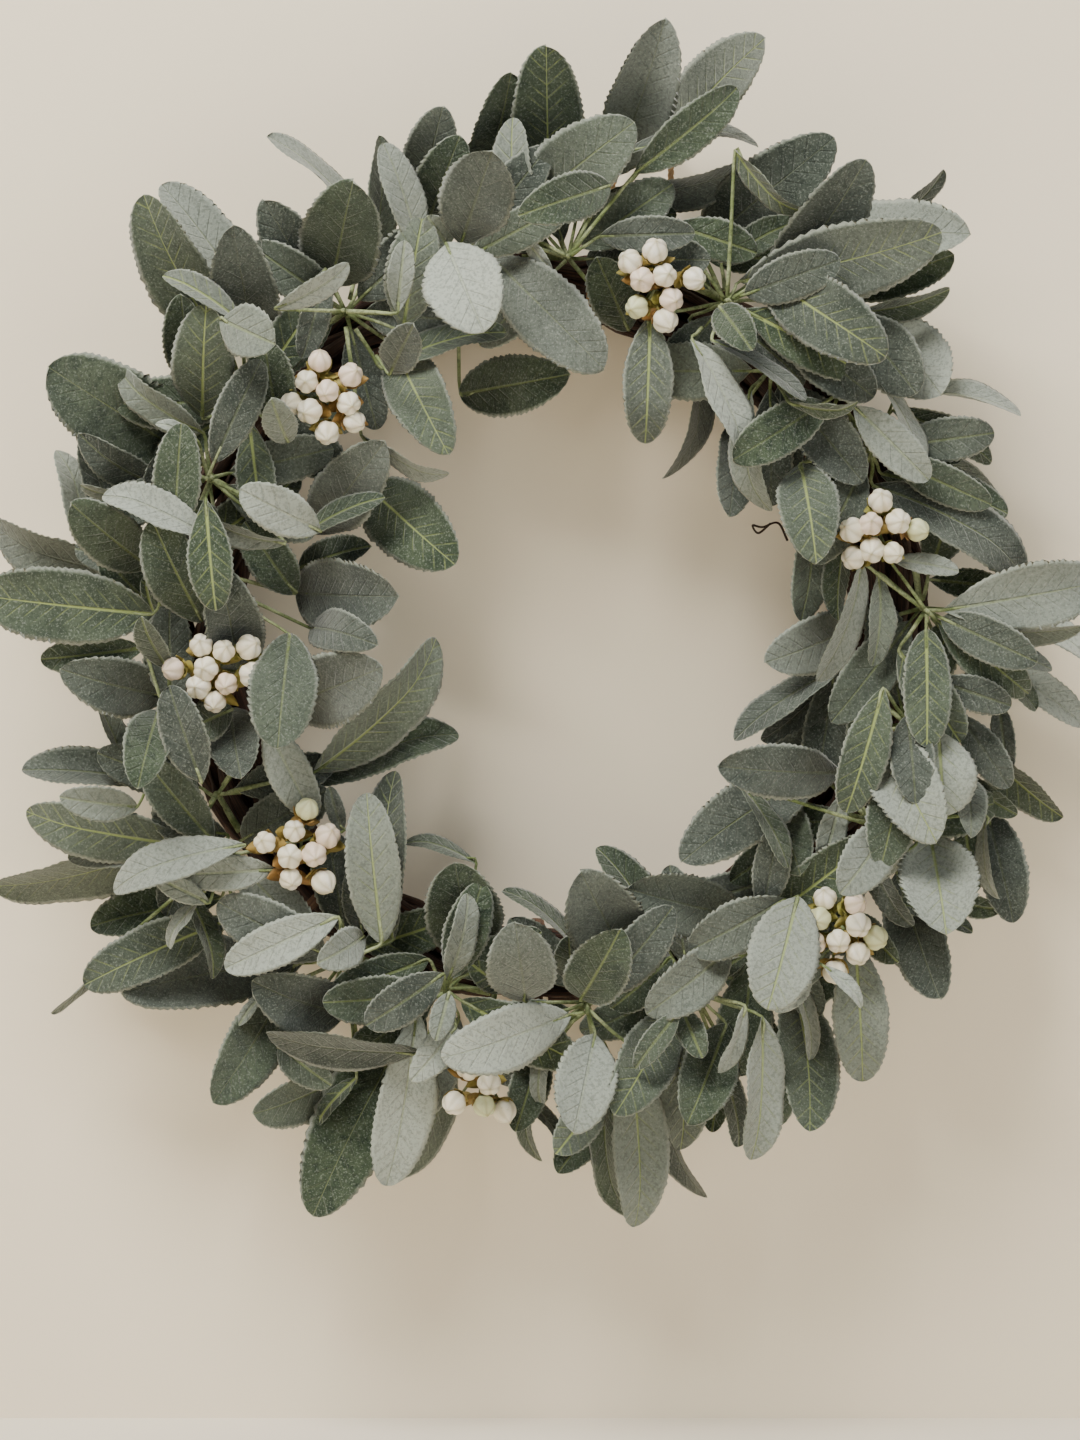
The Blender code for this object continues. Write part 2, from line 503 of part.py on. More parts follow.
def stem_path(hub):
    """A spray's stem: tucked along the vines, then straight out to the front."""
    degrees, reach = HUBS[hub]
    rest = BUNDLE_RADIUS + STEM_GAP + STEM_RADIUS
    offset = (reach - PLAN_RING) * MM
    around = math.acos(max(-1.0, min(1.0, offset / (rest / math.cos(math.radians(STEM_TUCK / 2))))))
    tucked = [math.radians(degrees - STEM_TUCK * (1 - i / 3)) for i in range(3)]
    path = [bundle_point(angle, around, rest * TUCK_EASE) for angle in tucked]
    return path + [hub_point(hub, front) for front in STEM_FRONTS]


def leaf_pose(entry, front, lift, hidden, hub):
    """Base, directions, length and real width of a leaf whose front view is fixed by its entry.

    The leaf starts behind its plan base by the hidden share of its plan length, but not past its stem.
    """
    base_x, base_z, tip_x, tip_z, width, _ = entry
    base = Vector((base_x * MM, -front, base_z * MM))
    tip = Vector((tip_x * MM, -front - lift, tip_z * MM))
    seen = Vector((tip.x - base.x, 0, tip.z - base.z))
    room = (base - hub_point(hub, front)).dot(seen.normalized()) - HUB_CLEAR
    back = max(0.0, min(seen.length * hidden, room))
    base -= (tip - base) * (back / seen.length)
    along = tip - base
    length = along.length
    along.normalize()
    real_width = max(width * MM, length / 2.9)
    roll = math.acos(min(1.0, width * MM / real_width))
    side = along.cross(Vector((0, -1, 0))).normalized()
    normal = side.cross(along).normalized()
    if normal.y > 0:
        normal = -normal
    turn = Matrix.Rotation(roll * (1 if (base_x + tip_z) % 2 else -1), 3, along)
    return base, (along, turn @ side, turn @ normal, length, real_width)


def leaf_choices(entry):
    """(front, lift) pairs to try for a leaf, nearest to its layer's own place first."""
    base_x, base_z, tip_x, tip_z, width, layer = entry
    seen = math.hypot(tip_x - base_x, tip_z - base_z) * MM
    wanted = min(LEAF_MOST_LIFT, math.sqrt(max(0.0, (width * MM * LEAF_SLENDERNESS) ** 2 - seen ** 2)))
    wanted = max(wanted, 6 * MM)
    front = LAYER_BASE + LAYER_STEP * layer
    choices = []
    for step in range(-9, 12):
        for share in (1.0, 0.75, 0.5, 1.3, 0.2):
            for hidden in (LEAF_HIDDEN, LEAF_HIDDEN / 2, 0.0):
                cost = abs(step) * 2.5 + abs(share - 1.0) * 14 + (1 - hidden / LEAF_HIDDEN) * 16
                choices.append((cost, front + step * 3.4 * MM, wanted * share, hidden))
    choices.sort(key=lambda choice: choice[0])
    return [choice[1:] for choice in choices if choice[1] > 2 * MM and choice[1] + choice[2] < MOST_FRONT]


def place_leaf(entry, placed, leaves, random_source):
    """Finds room for a leaf and its stalk: (hub, shape), or None.

    Each stalk leaves the stem at its own height. Room that keeps the stalk off its own spray's leaves is
    taken first, and after SPARE_TRIES more tries, room where it touches them.
    """
    bend, cup = random_source.uniform(0.03, 0.09), random_source.uniform(0.10, 0.22)
    thick = LEAF_HALF_THICKNESS + LEAF_GAP
    spare, tries = None, 0
    for hub in hubs_near(Vector((entry[0] * MM, 0, entry[1] * MM)))[:3]:
        start = hub_point(hub, STEM_FRONTS[0] + STALK_PITCH * len(leaves[hub]) % STALK_SPAN)
        for front, lift, hidden in leaf_choices(entry):
            if spare and tries > SPARE_TRIES:
                break
            base, pose = leaf_pose(entry, front, lift, hidden, hub)
            blade_base = base + pose[0] * STALK_CLEAR
            blade_pose = pose[:3] + (pose[3] - STALK_CLEAR, pose[4])
            blade_guard = leaf_loft(base, blade_base, blade_pose, bend, cup, thick, LEAF_GAP, 0.5)
            tries += spare is not None
            if placed.hits(blade_guard, hub):
                continue
            guard = leaf_loft(start, base, pose, bend, cup, thick, LEAF_GAP)
            if placed.hits(guard, hub, False):
                continue
            found = hub, leaf_loft(start, base, pose, bend, cup), guard
            if not placed.hits(leaf_loft(start, base, pose, bend, cup, thick, LEAF_GAP, STALK_SHARE), hub):
                spare = found
                break
            spare = spare or found
        if spare:
            break
    if spare:
        placed.add(spare[2], spare[0])
        return spare[:2]
    return None


def filler_leaves(random_source):
    """Leaves that fill in round each stem, behind and between the planned ones, in the plan's own form."""
    for turn in range(FILLER_TURNS):
        for hub, (degrees, reach) in enumerate(HUBS):
            heading = math.radians(FILLER_STEP * turn + 17 * hub + random_source.uniform(-14, 14))
            hub_x, hub_z = math.sin(math.radians(degrees)) * reach, math.cos(math.radians(degrees)) * reach
            start, length = random_source.uniform(9, 20), random_source.uniform(42, 60)
            base = hub_x + math.sin(heading) * start, hub_z + math.cos(heading) * start
            tip = hub_x + math.sin(heading) * (start + length), hub_z + math.cos(heading) * (start + length)
            if FILLER_INNER < math.hypot(*tip) < FILLER_OUTER:
                yield (*base, *tip, length / random_source.uniform(1.9, 2.4), turn % 3)


def sphere(centre, radius, rings=3, sides=6):
    """A faceted ball: (vertices, faces)."""
    vertices = [centre + Vector((0, -radius, 0))]
    for i in range(1, rings):
        polar = math.pi * i / rings
        for k in range(sides):
            turn = 2 * math.pi * k / sides
            vertices.append(centre + Vector((math.sin(polar) * math.cos(turn), -math.cos(polar),
                                             math.sin(polar) * math.sin(turn))) * radius)
    vertices.append(centre + Vector((0, radius, 0)))
    faces = [(0, 1 + k, 1 + (k + 1) % sides) for k in range(sides)]
    for i in range(rings - 2):
        for k in range(sides):
            a, b = 1 + i * sides + k, 1 + i * sides + (k + 1) % sides
            faces.append((a, a + sides, b + sides, b))
    last = 1 + (rings - 2) * sides
    faces += [(last + k, len(vertices) - 1, last + (k + 1) % sides) for k in range(sides)]
    return vertices, faces


def pick_shapes(index, count, middle, angle):
    """A pick's stem, its joined shapes and the guards that keep room round them."""
    foot = bundle_point(angle, math.radians(90), BUNDLE_RADIUS + STEM_GAP + STEM_RADIUS)
    fork = foot.lerp(middle, 0.45)
    line = [foot, foot + Vector((0, -6 * MM, 0)), fork, middle]
    shapes, guards = [], [tube(line, [STEM_RADIUS + LEAF_GAP] * 4, 5)]
    pitch = 2 * BERRY_RADIUS + BERRY_GAP
    for i in range(count):
        turn = math.radians(137.5 * i + 40 * index)
        spread = pitch * BERRY_SPREAD * math.sqrt(i + 0.6)
        centre = middle + Vector((math.cos(turn) * spread, -7 * MM + 0.30 * spread, math.sin(turn) * spread))
        start = fork.lerp(middle, 0.8 * (i + 1) / count)
        shapes += [sphere(centre, BERRY_RADIUS),
                   tube([start, centre], [STALK_RADIUS * STALK_TAPER, STALK_RADIUS], 3)]
        guards += [sphere(centre, BERRY_RADIUS + LEAF_GAP),
                   tube([start, centre], [STALK_RADIUS + LEAF_GAP] * 2, 4)]
    return tube(line, [STEM_RADIUS] * 4, 4), shapes, guards


def berry_pick(index, pick, placed):
    """A stem that forks into stalks, each with a berry: its name, the stem's tube and the joined shapes.

    It stands at its plan angle, or the nearest one at which it clears every stem.
    """
    plan_x, plan_z, count = pick
    owner = f"berry_pick_{index}"
    reach = math.hypot(plan_x, plan_z) * MM + RING_RADIUS - PLAN_RING * MM
    for step in range(PICK_TRIES):
        angle = math.atan2(plan_x, plan_z) + PICK_SLIDE * ((step + 1) // 2) * (1 if step % 2 else -1)
        middle = Vector((math.sin(angle) * reach, -PICK_FRONT, math.cos(angle) * reach))
        stem, shapes, guards = pick_shapes(index, count, middle, angle)
        if not any(placed.hits(shape, "bundle", False) for shape in [stem] + shapes):
            break
    for guard in guards:
        placed.add(guard, owner)
    placed.add(tube([middle, middle - Vector((0, LEAF_REACH, 0))], [BERRY_RADIUS * PICK_VIEW] * 2, 8), owner)
    return owner, stem, shapes


def swung(shape, degrees):
    """A shape of the twine loop, turned back about the bundle's centre line."""
    centre, _, tangent = ring_frame(math.radians(LOOP_ANGLE))
    turn = Matrix.Rotation(math.radians(degrees), 3, tangent)
    return [turn @ (v - centre) + centre for v in shape[0]], shape[1]


def drum(centre, outward, tangent, half_width, reach, sides):
    """The wall of a drum round the bundle, open at both ends: (vertices, faces)."""
    vertices = []
    for side in (-1, 1):
        for k in range(sides):
            turn = 2 * math.pi * k / sides
            radial = outward * math.cos(turn) + Vector((0, -1, 0)) * math.sin(turn)
            vertices.append(centre + tangent * side * half_width + radial * reach)
    return vertices, [(k, (k + 1) % sides, sides + (k + 1) % sides, sides + k) for k in range(sides)]


def keep_clear(placed):
    """The bundle, its bindings, the door plane and the twine loop's swing, which no leaf may enter."""
    def section(i):
        angle = 2 * math.pi * i / 48
        guard = BUNDLE_RADIUS / math.cos(math.pi / 10) + STEM_GAP
        return [bundle_point(angle, 2 * math.pi * k / 10, guard) for k in range(10)]
    placed.add(closed_ribbon(section, 48), "bundle")
    for degrees in BINDING_ANGLES:
        reach = (BINDING_INNER / BINDING_EASE + BINDING_THICKNESS + STEM_GAP) / math.cos(math.pi / 10)
        half_width = BINDING_WIDTH / 2 + STEM_GAP
        placed.add(drum(*ring_frame(math.radians(degrees)), half_width, reach, 10), "bindings")
    far, door = 400 * MM, BACK - DOOR_CLEARANCE
    wall = [Vector((x * far, door, z * far)) for x, z in ((-1, -1), (1, -1), (1, 1), (-1, 1))]
    placed.add((wall, [(0, 1, 2, 3)]), "door")
    path = loop_path()
    guard = tube(path, [TWINE_RADIUS + 1.2 * MM] * len(path), 6)
    placed.add(guard, "loop")
    for degrees in LOOP_SWING:
        placed.add(swung(guard, degrees), "loop")
    reach = BUNDLE_RADIUS + TWINE_GAP + 3 * TWINE_RADIUS
    placed.add(drum(*ring_frame(math.radians(LOOP_ANGLE)), LOOP_HALF_WIDTH * 1.1, reach, 16), "loop")


def build():
    for obj in list(bpy.data.objects):
        bpy.data.objects.remove(obj, do_unlink=True)
    for index in range(VINE_COUNT + 1):
        outward_faces(vine(index))
    for index, degrees in enumerate(BINDING_ANGLES, 1):
        outward_faces(binding(index, degrees))
    loop, loop_shape = hanging_loop()
    outward_faces(loop)
    union(loop, [loop_shape])

    placed = Placed()
    keep_clear(placed)
    stems = {hub: tube(stem_path(hub), [STEM_RADIUS] * 6, 4) for hub in range(len(HUBS))}
    for hub in stems:
        placed.add(tube(stem_path(hub), [STEM_RADIUS + LEAF_GAP] * 6, 5), hub)
    picks = [berry_pick(index, pick, placed) for index, pick in enumerate(BERRY_PICKS, 1)]

    random_source = random.Random(12)
    leaves = {hub: [] for hub in stems}
    planned = sorted(LEAVES, key=lambda leaf: leaf[5])
    for entry in planned + list(filler_leaves(random_source)):
        found = place_leaf(moved_with_ring(entry), placed, leaves, random_source)
        if found:
            leaves[found[0]].append(found[1])
    for hub, stem in stems.items():
        spray = finish(f"leaf_spray_{hub + 1:02d}", *stem, "leaf")
        outward_faces(spray)
        union(spray, leaves[hub])
    for owner, stem, shapes in picks:
        pick = finish(owner, *stem, "berry", 0.5)
        outward_faces(pick)
        union(pick, shapes)


build()
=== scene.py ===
"""Looks of the lamb's-ear door wreath: flocked leaves, berries, grapevine, bindings and the twine loop."""

import math

import bmesh
import bpy
import numpy as np
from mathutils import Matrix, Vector


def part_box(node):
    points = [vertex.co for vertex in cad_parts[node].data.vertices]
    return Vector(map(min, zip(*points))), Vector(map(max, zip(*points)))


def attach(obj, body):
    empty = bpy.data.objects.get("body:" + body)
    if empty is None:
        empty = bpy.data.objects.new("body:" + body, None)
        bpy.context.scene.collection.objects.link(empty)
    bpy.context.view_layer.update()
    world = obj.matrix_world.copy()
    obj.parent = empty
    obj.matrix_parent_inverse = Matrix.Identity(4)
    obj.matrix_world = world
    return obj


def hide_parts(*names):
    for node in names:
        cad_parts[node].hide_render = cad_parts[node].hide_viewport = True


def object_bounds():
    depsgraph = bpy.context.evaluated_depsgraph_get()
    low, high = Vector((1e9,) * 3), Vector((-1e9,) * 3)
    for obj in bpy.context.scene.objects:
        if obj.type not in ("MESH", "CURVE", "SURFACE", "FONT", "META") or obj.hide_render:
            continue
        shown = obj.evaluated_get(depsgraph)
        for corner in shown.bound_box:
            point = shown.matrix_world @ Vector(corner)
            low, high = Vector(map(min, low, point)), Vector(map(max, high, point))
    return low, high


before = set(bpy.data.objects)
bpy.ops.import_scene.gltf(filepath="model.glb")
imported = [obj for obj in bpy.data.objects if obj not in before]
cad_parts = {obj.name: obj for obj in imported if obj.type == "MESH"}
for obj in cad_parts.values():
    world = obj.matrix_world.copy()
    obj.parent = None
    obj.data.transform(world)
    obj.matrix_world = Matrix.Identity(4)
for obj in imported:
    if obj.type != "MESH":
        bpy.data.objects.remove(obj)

CAD_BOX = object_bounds()
MM = 0.001
BACKWARD = np.array([0.0, 1.0, 0.0])


def corner_arrays(node):
    low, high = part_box(node)
    return np.array(low, float), np.array(high, float)


# The ring, read off the core vine
CORE_LOW, CORE_HIGH = corner_arrays("vine_core")
RING = (CORE_LOW + CORE_HIGH) / 2
VINE_RADIUS = (CORE_HIGH[1] - CORE_LOW[1]) / 2 / math.cos(math.pi / 10)
RING_RADIUS = (CORE_HIGH[0] - CORE_LOW[0]) / 2 - VINE_RADIUS
LANE_RADIUS = 14.6 * MM
BUNDLE_RADIUS = 21.2 * MM
BACK = max(corner_arrays(f"vine_binding_{i}")[1][1] for i in range(1, 7))

# Camera
VIEW_CENTRE = Vector((-0.004, -0.045, RING[2] - 0.0425))
VIEW_DISTANCE = 2.0
VIEW_ELEVATION = math.radians(5)
FRAME_HEIGHT = 0.72               # height that the camera takes in at the leaves


def make_camera():
    """A long lens a little above the wreath's middle, looking along +Y and slightly down."""
    data = bpy.data.cameras.new("camera")
    data.sensor_width = 36
    data.sensor_fit = "AUTO"
    data.lens = 36 * VIEW_DISTANCE / FRAME_HEIGHT
    camera = bpy.data.objects.new("camera", data)
    bpy.context.scene.collection.objects.link(camera)
    away = Vector((0, -math.cos(VIEW_ELEVATION), math.sin(VIEW_ELEVATION)))
    camera.location = VIEW_CENTRE + away * VIEW_DISTANCE
    camera.rotation_euler = (-away).to_track_quat("-Z", "Y").to_euler()
    bpy.context.scene.camera = camera


# ---------------------------------------------------------------- mesh helpers

def loft(sections):
    """Sections of K points each, joined in turn by quads, with both ends capped: (vertices, faces)."""
    rows, around = sections.shape[:2]
    index = np.arange(rows * around).reshape(rows, around)
    turned = np.roll(index, -1, axis=1)
    quads = np.stack([index[:-1], turned[:-1], turned[1:], index[1:]], axis=-1).reshape(-1, 4)
    faces = quads.tolist() + [index[0, ::-1].tolist(), index[-1].tolist()]
    return sections.reshape(-1, 3), faces


def ring_loft(sections):
    """The same, with the last section joined to the first and no caps."""
    rows, around = sections.shape[:2]
    index = np.arange(rows * around).reshape(rows, around)
    after = np.roll(index, -1, axis=0)
    quads = np.stack([index, np.roll(index, -1, 1), np.roll(after, -1, 1), after], axis=-1).reshape(-1, 4)
    return sections.reshape(-1, 3), quads.tolist()


class Build:
    """Gathers lofts, with their point attributes, into one mesh."""

    def __init__(self):
        self.points, self.faces, self.values, self.count = [], [], {}, 0

    def add(self, shape, **values):
        points, faces = shape
        self.points.append(points)
        self.faces += [[self.count + i for i in face] for face in faces]
        self.count += len(points)
        for name, value in values.items():
            value = np.asarray(value, float)
            self.values.setdefault(name, []).append(np.broadcast_to(value, (len(points), 4)))

    def piece(self, name, material, body="wreath"):
        """The gathered mesh as an object, smooth and facing outwards."""
        mesh = bpy.data.meshes.new(name)
        mesh.from_pydata(np.concatenate(self.points).tolist(), [], self.faces)
        for key, parts in self.values.items():
            attribute = mesh.attributes.new(key, "FLOAT_COLOR", "POINT")
            attribute.data.foreach_set("color", np.concatenate(parts).astype(np.float32).ravel())
        bm = bmesh.new()
        bm.from_mesh(mesh)
        bmesh.ops.recalc_face_normals(bm, faces=bm.faces)
        bm.to_mesh(mesh)
        bm.free()
        mesh.shade_smooth()
        mesh.materials.append(material)
        obj = bpy.data.objects.new(name, mesh)
        bpy.context.scene.collection.objects.link(obj)
        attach(obj, body)
        return obj


def unit(vectors):
    return vectors / np.maximum(np.linalg.norm(vectors, axis=-1, keepdims=True), 1e-12)


def carried_frames(path):
    """Tangents and two cross directions along a path, carried from point to point without twisting."""
    tangents = unit(np.gradient(path, axis=0))
    across = np.cross(tangents[0], [0.0, 0.0, 1.0])
    if np.linalg.norm(across) < 0.2:
        across = np.cross(tangents[0], [1.0, 0.0, 0.0])
    sides = []
    for tangent in tangents:
        across = across - tangent * across.dot(tangent)
        across = across / np.linalg.norm(across)
        sides.append(across)
    sides = np.array(sides)
    return tangents, sides, np.cross(tangents, sides)


def tube(path, radius, around=8, ripple=0.0, turns=0.0):
    """Circles of the given radius along a path; ripple swells them into 3 lobes that turn along it."""
    path = np.asarray(path, float)
    _, side, up = carried_frames(path)
    angle = np.linspace(0, 2 * np.pi, around, endpoint=False)[None, :]
    along = np.linspace(0, 2 * np.pi * turns, len(path))[:, None]
    size = np.broadcast_to(np.asarray(radius, float), (len(path),))[:, None]
    size = size * (1 + ripple * np.cos(3 * (angle + along)))
    return path[:, None] + size[..., None] * (
        side[:, None] * np.cos(angle)[..., None] + up[:, None] * np.sin(angle)[..., None])


def smooth_path(points, count):
    """A Catmull-Rom curve through the points, sampled evenly in parameter."""
    points = np.asarray(points, float)
    padded = np.vstack([2 * points[0] - points[1], points, 2 * points[-1] - points[-2]])
    t = np.linspace(0, len(points) - 1, count)
    i = np.minimum(t.astype(int), len(points) - 2)
    f = (t - i)[:, None]
    p0, p1, p2, p3 = padded[i], padded[i + 1], padded[i + 2], padded[i + 3]
    return 0.5 * (2 * p1 + (p2 - p0) * f + (2 * p0 - 5 * p1 + 4 * p2 - p3) * f ** 2
                  + (3 * p1 - p0 - 3 * p2 + p3) * f ** 3)


# ---------------------------------------------------------------- materials

def group_of(name, inputs, outputs):
    """An empty shader node group with these sockets: (group, its input node, its output node)."""
    group = bpy.data.node_groups.new(name, "ShaderNodeTree")
    for label, kind, value in inputs:
        socket = group.interface.new_socket(label, in_out="INPUT", socket_type=kind)
        if value is not None:
            socket.default_value = value
    for label, kind in outputs:
        group.interface.new_socket(label, in_out="OUTPUT", socket_type=kind)
    return group, group.nodes.new("NodeGroupInput"), group.nodes.new("NodeGroupOutput")


class Nodes:
    """Short calls for adding and linking nodes in one tree."""

    def __init__(self, tree):
        self.tree = tree

    def add(self, kind, *inputs, **settings):
        node = self.tree.nodes.new(kind)
        for key, value in settings.items():
            setattr(node, key, value)
        for slot, value in enumerate(inputs):
            self.put(node.inputs[slot], value)
        return node

    def put(self, socket, value):
        if value is None:
            return
        if isinstance(value, bpy.types.NodeSocket):
            self.tree.links.new(value, socket)
        elif isinstance(value, bpy.types.Node):
            self.tree.links.new(value.outputs[0], socket)
        else:
            socket.default_value = value

    def math(self, operation, *inputs):
        return self.add("ShaderNodeMath", *inputs, operation=operation).outputs[0]

    def times(self, first, second):
        return self.math("MULTIPLY", first, second)

    def plus(self, first, second):
        return self.math("ADD", first, second)

    def attribute(self, name):
        """A point attribute's (red, green, blue, alpha)."""
        node = self.add("ShaderNodeAttribute", attribute_name=name)
        split = self.add("ShaderNodeSeparateColor", node.outputs["Color"])
        return (*split.outputs, node.outputs["Alpha"])

    def object_place(self):
        return self.add("ShaderNodeTexCoord").outputs["Object"]

    def bump(self, shader, height, strength, distance):
        """Lets a height bend the shading, over this distance in metres."""
        node = self.add("ShaderNodeBump")
        node.inputs["Strength"].default_value = strength
        node.inputs["Distance"].default_value = distance
        self.put(node.inputs["Height"], height)
        self.put(shader.inputs["Normal"], node)

    def noise(self, vector, scale, detail=3.0, roughness=0.5):
        node = self.add("ShaderNodeTexNoise")
        self.put(node.inputs["Vector"], vector)
        self.put(node.inputs["Scale"], scale)
        self.put(node.inputs["Detail"], detail)
        self.put(node.inputs["Roughness"], roughness)
        return node.outputs["Fac"]

    def mix(self, factor, first, second, blend="MIX"):
        node = self.tree.nodes.new("ShaderNodeMix")
        node.data_type = "RGBA"
        node.blend_type = blend
        node.clamp_factor = True
        self.put(node.inputs[0], factor)
        self.put(node.inputs[6], first)
        self.put(node.inputs[7], second)
        return node.outputs[2]

    def ramp(self, value, low, high):
        """Goes smoothly from 0 at low to 1 at high."""
        node = self.tree.nodes.new("ShaderNodeMapRange")
        node.interpolation_type = "SMOOTHSTEP"
        self.put(node.inputs[0], value)
        self.put(node.inputs[1], low)
        self.put(node.inputs[2], high)
        return node.outputs[0]


def felt_group():
    """Flocking: fine fibre height and a speckle mask from object coordinates."""
    group, given, out = group_of(
        "flocking", [("Vector", "NodeSocketVector", None), ("Fineness", "NodeSocketFloat", 1.0)],
        [("Height", "NodeSocketFloat"), ("Speckle", "NodeSocketFloat"), ("Frost", "NodeSocketFloat")])
    n = Nodes(group)
    where, fineness = given.outputs[0], given.outputs[1]
    fine = n.noise(where, n.times(fineness, 1500.0), 2.0, 0.6)
    coarse = n.noise(where, n.times(fineness, 620.0), 3.0, 0.6)
    middling = n.noise(where, n.times(fineness, 1000.0), 2.0, 0.6)
    n.put(out.inputs[0], n.plus(n.times(fine, 0.6), n.times(coarse, 0.6)))
    n.put(out.inputs[1], n.ramp(coarse, 0.46, 0.62))
    n.put(out.inputs[2], n.ramp(middling, 0.54, 0.66))
    return group


def vein_group():
    """Midrib and side veins of a leaf; along and across are millimetres from its base and midrib."""
    group, given, out = group_of(
        "leaf_veins", [("Along", "NodeSocketFloat", 0.0), ("Across", "NodeSocketFloat", 0.0),
                       ("Pitch", "NodeSocketFloat", 7.5)],
        [("Midrib", "NodeSocketFloat"), ("Veins", "NodeSocketFloat")])
    n = Nodes(group)
    along, across, pitch = given.outputs[0], given.outputs[1], given.outputs[2]
    taper = n.math("MAXIMUM", n.math("SUBTRACT", 1.25, n.times(along, 0.012)), 0.3)
    n.put(out.inputs[0], n.math("SUBTRACT", 1.0, n.ramp(n.math("DIVIDE", across, taper), 0.35, 1.1)))
    phase = n.math("DIVIDE", n.math("SUBTRACT", along, n.times(across, 1.05)), pitch)
    away = n.math("ABSOLUTE", n.math("SUBTRACT", n.math("FRACT", phase), 0.5))
    line = n.math("SUBTRACT", 1.0, n.ramp(away, 0.035, 0.10))
    n.put(out.inputs[1], n.times(line, n.math("SUBTRACT", 1.0, n.ramp(across, 4.0, 12.0))))
    return group


def new_material(name, roughness=0.9):
    material = bpy.data.materials.new(name)
    material.use_nodes = True
    shader = material.node_tree.nodes["Principled BSDF"]
    shader.inputs["Roughness"].default_value = roughness
    return material, Nodes(material.node_tree), shader


def leaf_material(felt, veins):
    """Sage felt: each leaf's own tone, dark patches, frosted rim, yellow-green midrib, paler underside."""
    material, n, shader = new_material("leaf_felt", 0.94)
    along, across, edge, under = n.attribute("leaf_place")
    pale, green, vein, mottle = n.attribute("leaf_tone")
    where = n.object_place()
    fleece = n.add("ShaderNodeGroup", node_tree=felt)
    n.put(fleece.inputs[0], where)
    rib = n.add("ShaderNodeGroup", node_tree=veins)
    n.put(rib.inputs[0], n.times(along, LONGEST_LEAF))
    n.put(rib.inputs[1], n.times(across, WIDEST_HALF))
    broad = n.noise(where, 55.0, 4.0, 0.6)
    patches = n.noise(where, 160.0, 4.0, 0.65)
    colour = n.mix(green, SAGE_GREY, SAGE_GREEN)
    colour = n.mix(n.times(n.ramp(broad, 0.40, 0.68), 0.55), colour, n.mix(green, SLATE, FOREST))
    dark_patches = n.times(n.ramp(patches, 0.50, 0.66), n.plus(0.18, n.times(mottle, 0.6)))
    colour = n.mix(dark_patches, colour, FOREST)
    colour = n.mix(pale, colour, FROST)
    colour = n.mix(n.times(fleece.outputs[1], 0.36), colour, n.mix(pale, DEEP, SAGE_GREY))
    colour = n.mix(n.times(fleece.outputs[2], 0.26), colour, FROST)
    colour = n.mix(n.times(under, 0.55), colour, UNDERSIDE)
    worn = n.ramp(patches, 0.30, 0.62)
    midrib = n.times(rib.outputs[0], n.plus(0.06, n.times(vein, 0.9)))
    colour = n.mix(n.times(midrib, 0.8), colour, MIDRIB)
    strength = n.times(n.times(n.math("POWER", vein, 2.0), 0.42), worn)
    side_veins = n.times(rib.outputs[1], strength)
    colour = n.mix(side_veins, colour, MIDRIB)
    rim = n.ramp(n.plus(edge, n.times(patches, 0.10)), 0.90, 1.06)
    colour = n.mix(n.times(rim, 0.6), colour, RIM)
    n.put(shader.inputs["Base Color"], colour)
    shader.inputs["Sheen Weight"].default_value = 0.35
    shader.inputs["Sheen Roughness"].default_value = 0.5
    shader.inputs["Specular IOR Level"].default_value = 0.2
    furrow = n.math("MAXIMUM", rib.outputs[0], n.times(rib.outputs[1], 0.6))
    height = n.math("SUBTRACT", n.times(fleece.outputs[0], 0.5), n.times(furrow, 0.5))
    n.bump(shader, height, 1.0, 0.0013)
    n.put(shader.inputs["Roughness"], n.plus(0.86, n.times(fleece.outputs[1], 0.1)))
    return material


def stem_material(felt):
    """Fuzzy pale green stems, yellower in places."""
    material, n, shader = new_material("stem_fuzz")
    where = n.object_place()
    fleece = n.add("ShaderNodeGroup", node_tree=felt)
    n.put(fleece.inputs[0], where)
    colour = n.mix(n.ramp(n.noise(where, 90.0), 0.35, 0.65), STEM_GREEN, STEM_PALE)
    n.put(shader.inputs["Base Color"], n.mix(n.times(fleece.outputs[1], 0.4), colour, DEEP))
    n.bump(shader, fleece.outputs[0], 0.8, 0.0008)
    return material


def bark_material(name, dark, light):
    """Stringy bark: long streaks that follow the vine, read from its own length and girth attribute."""
    material, n, shader = new_material(name, 0.85)
    along = n.add("ShaderNodeAttribute", attribute_name="bark").outputs["Vector"]
    stretch = n.add("ShaderNodeMapping")
    n.put(stretch.inputs["Vector"], along)
    stretch.inputs["Scale"].default_value = (6.0, 60.0, 60.0)
    streaks = n.noise(stretch.outputs[0], 6.0, 5.0, 0.65)
    where = n.object_place()
    patches = n.noise(where, 45.0, 4.0, 0.6)
    colour = n.mix(n.ramp(streaks, 0.35, 0.7), dark, light)
    colour = n.mix(n.times(n.ramp(patches, 0.55, 0.72), 0.5), colour, BARK_GREY)
    n.put(shader.inputs["Base Color"], colour)
    n.bump(shader, n.plus(streaks, n.times(patches, 0.4)), 0.9, 0.0012)
    n.put(shader.inputs["Roughness"], n.plus(0.7, n.times(streaks, 0.25)))
    return material


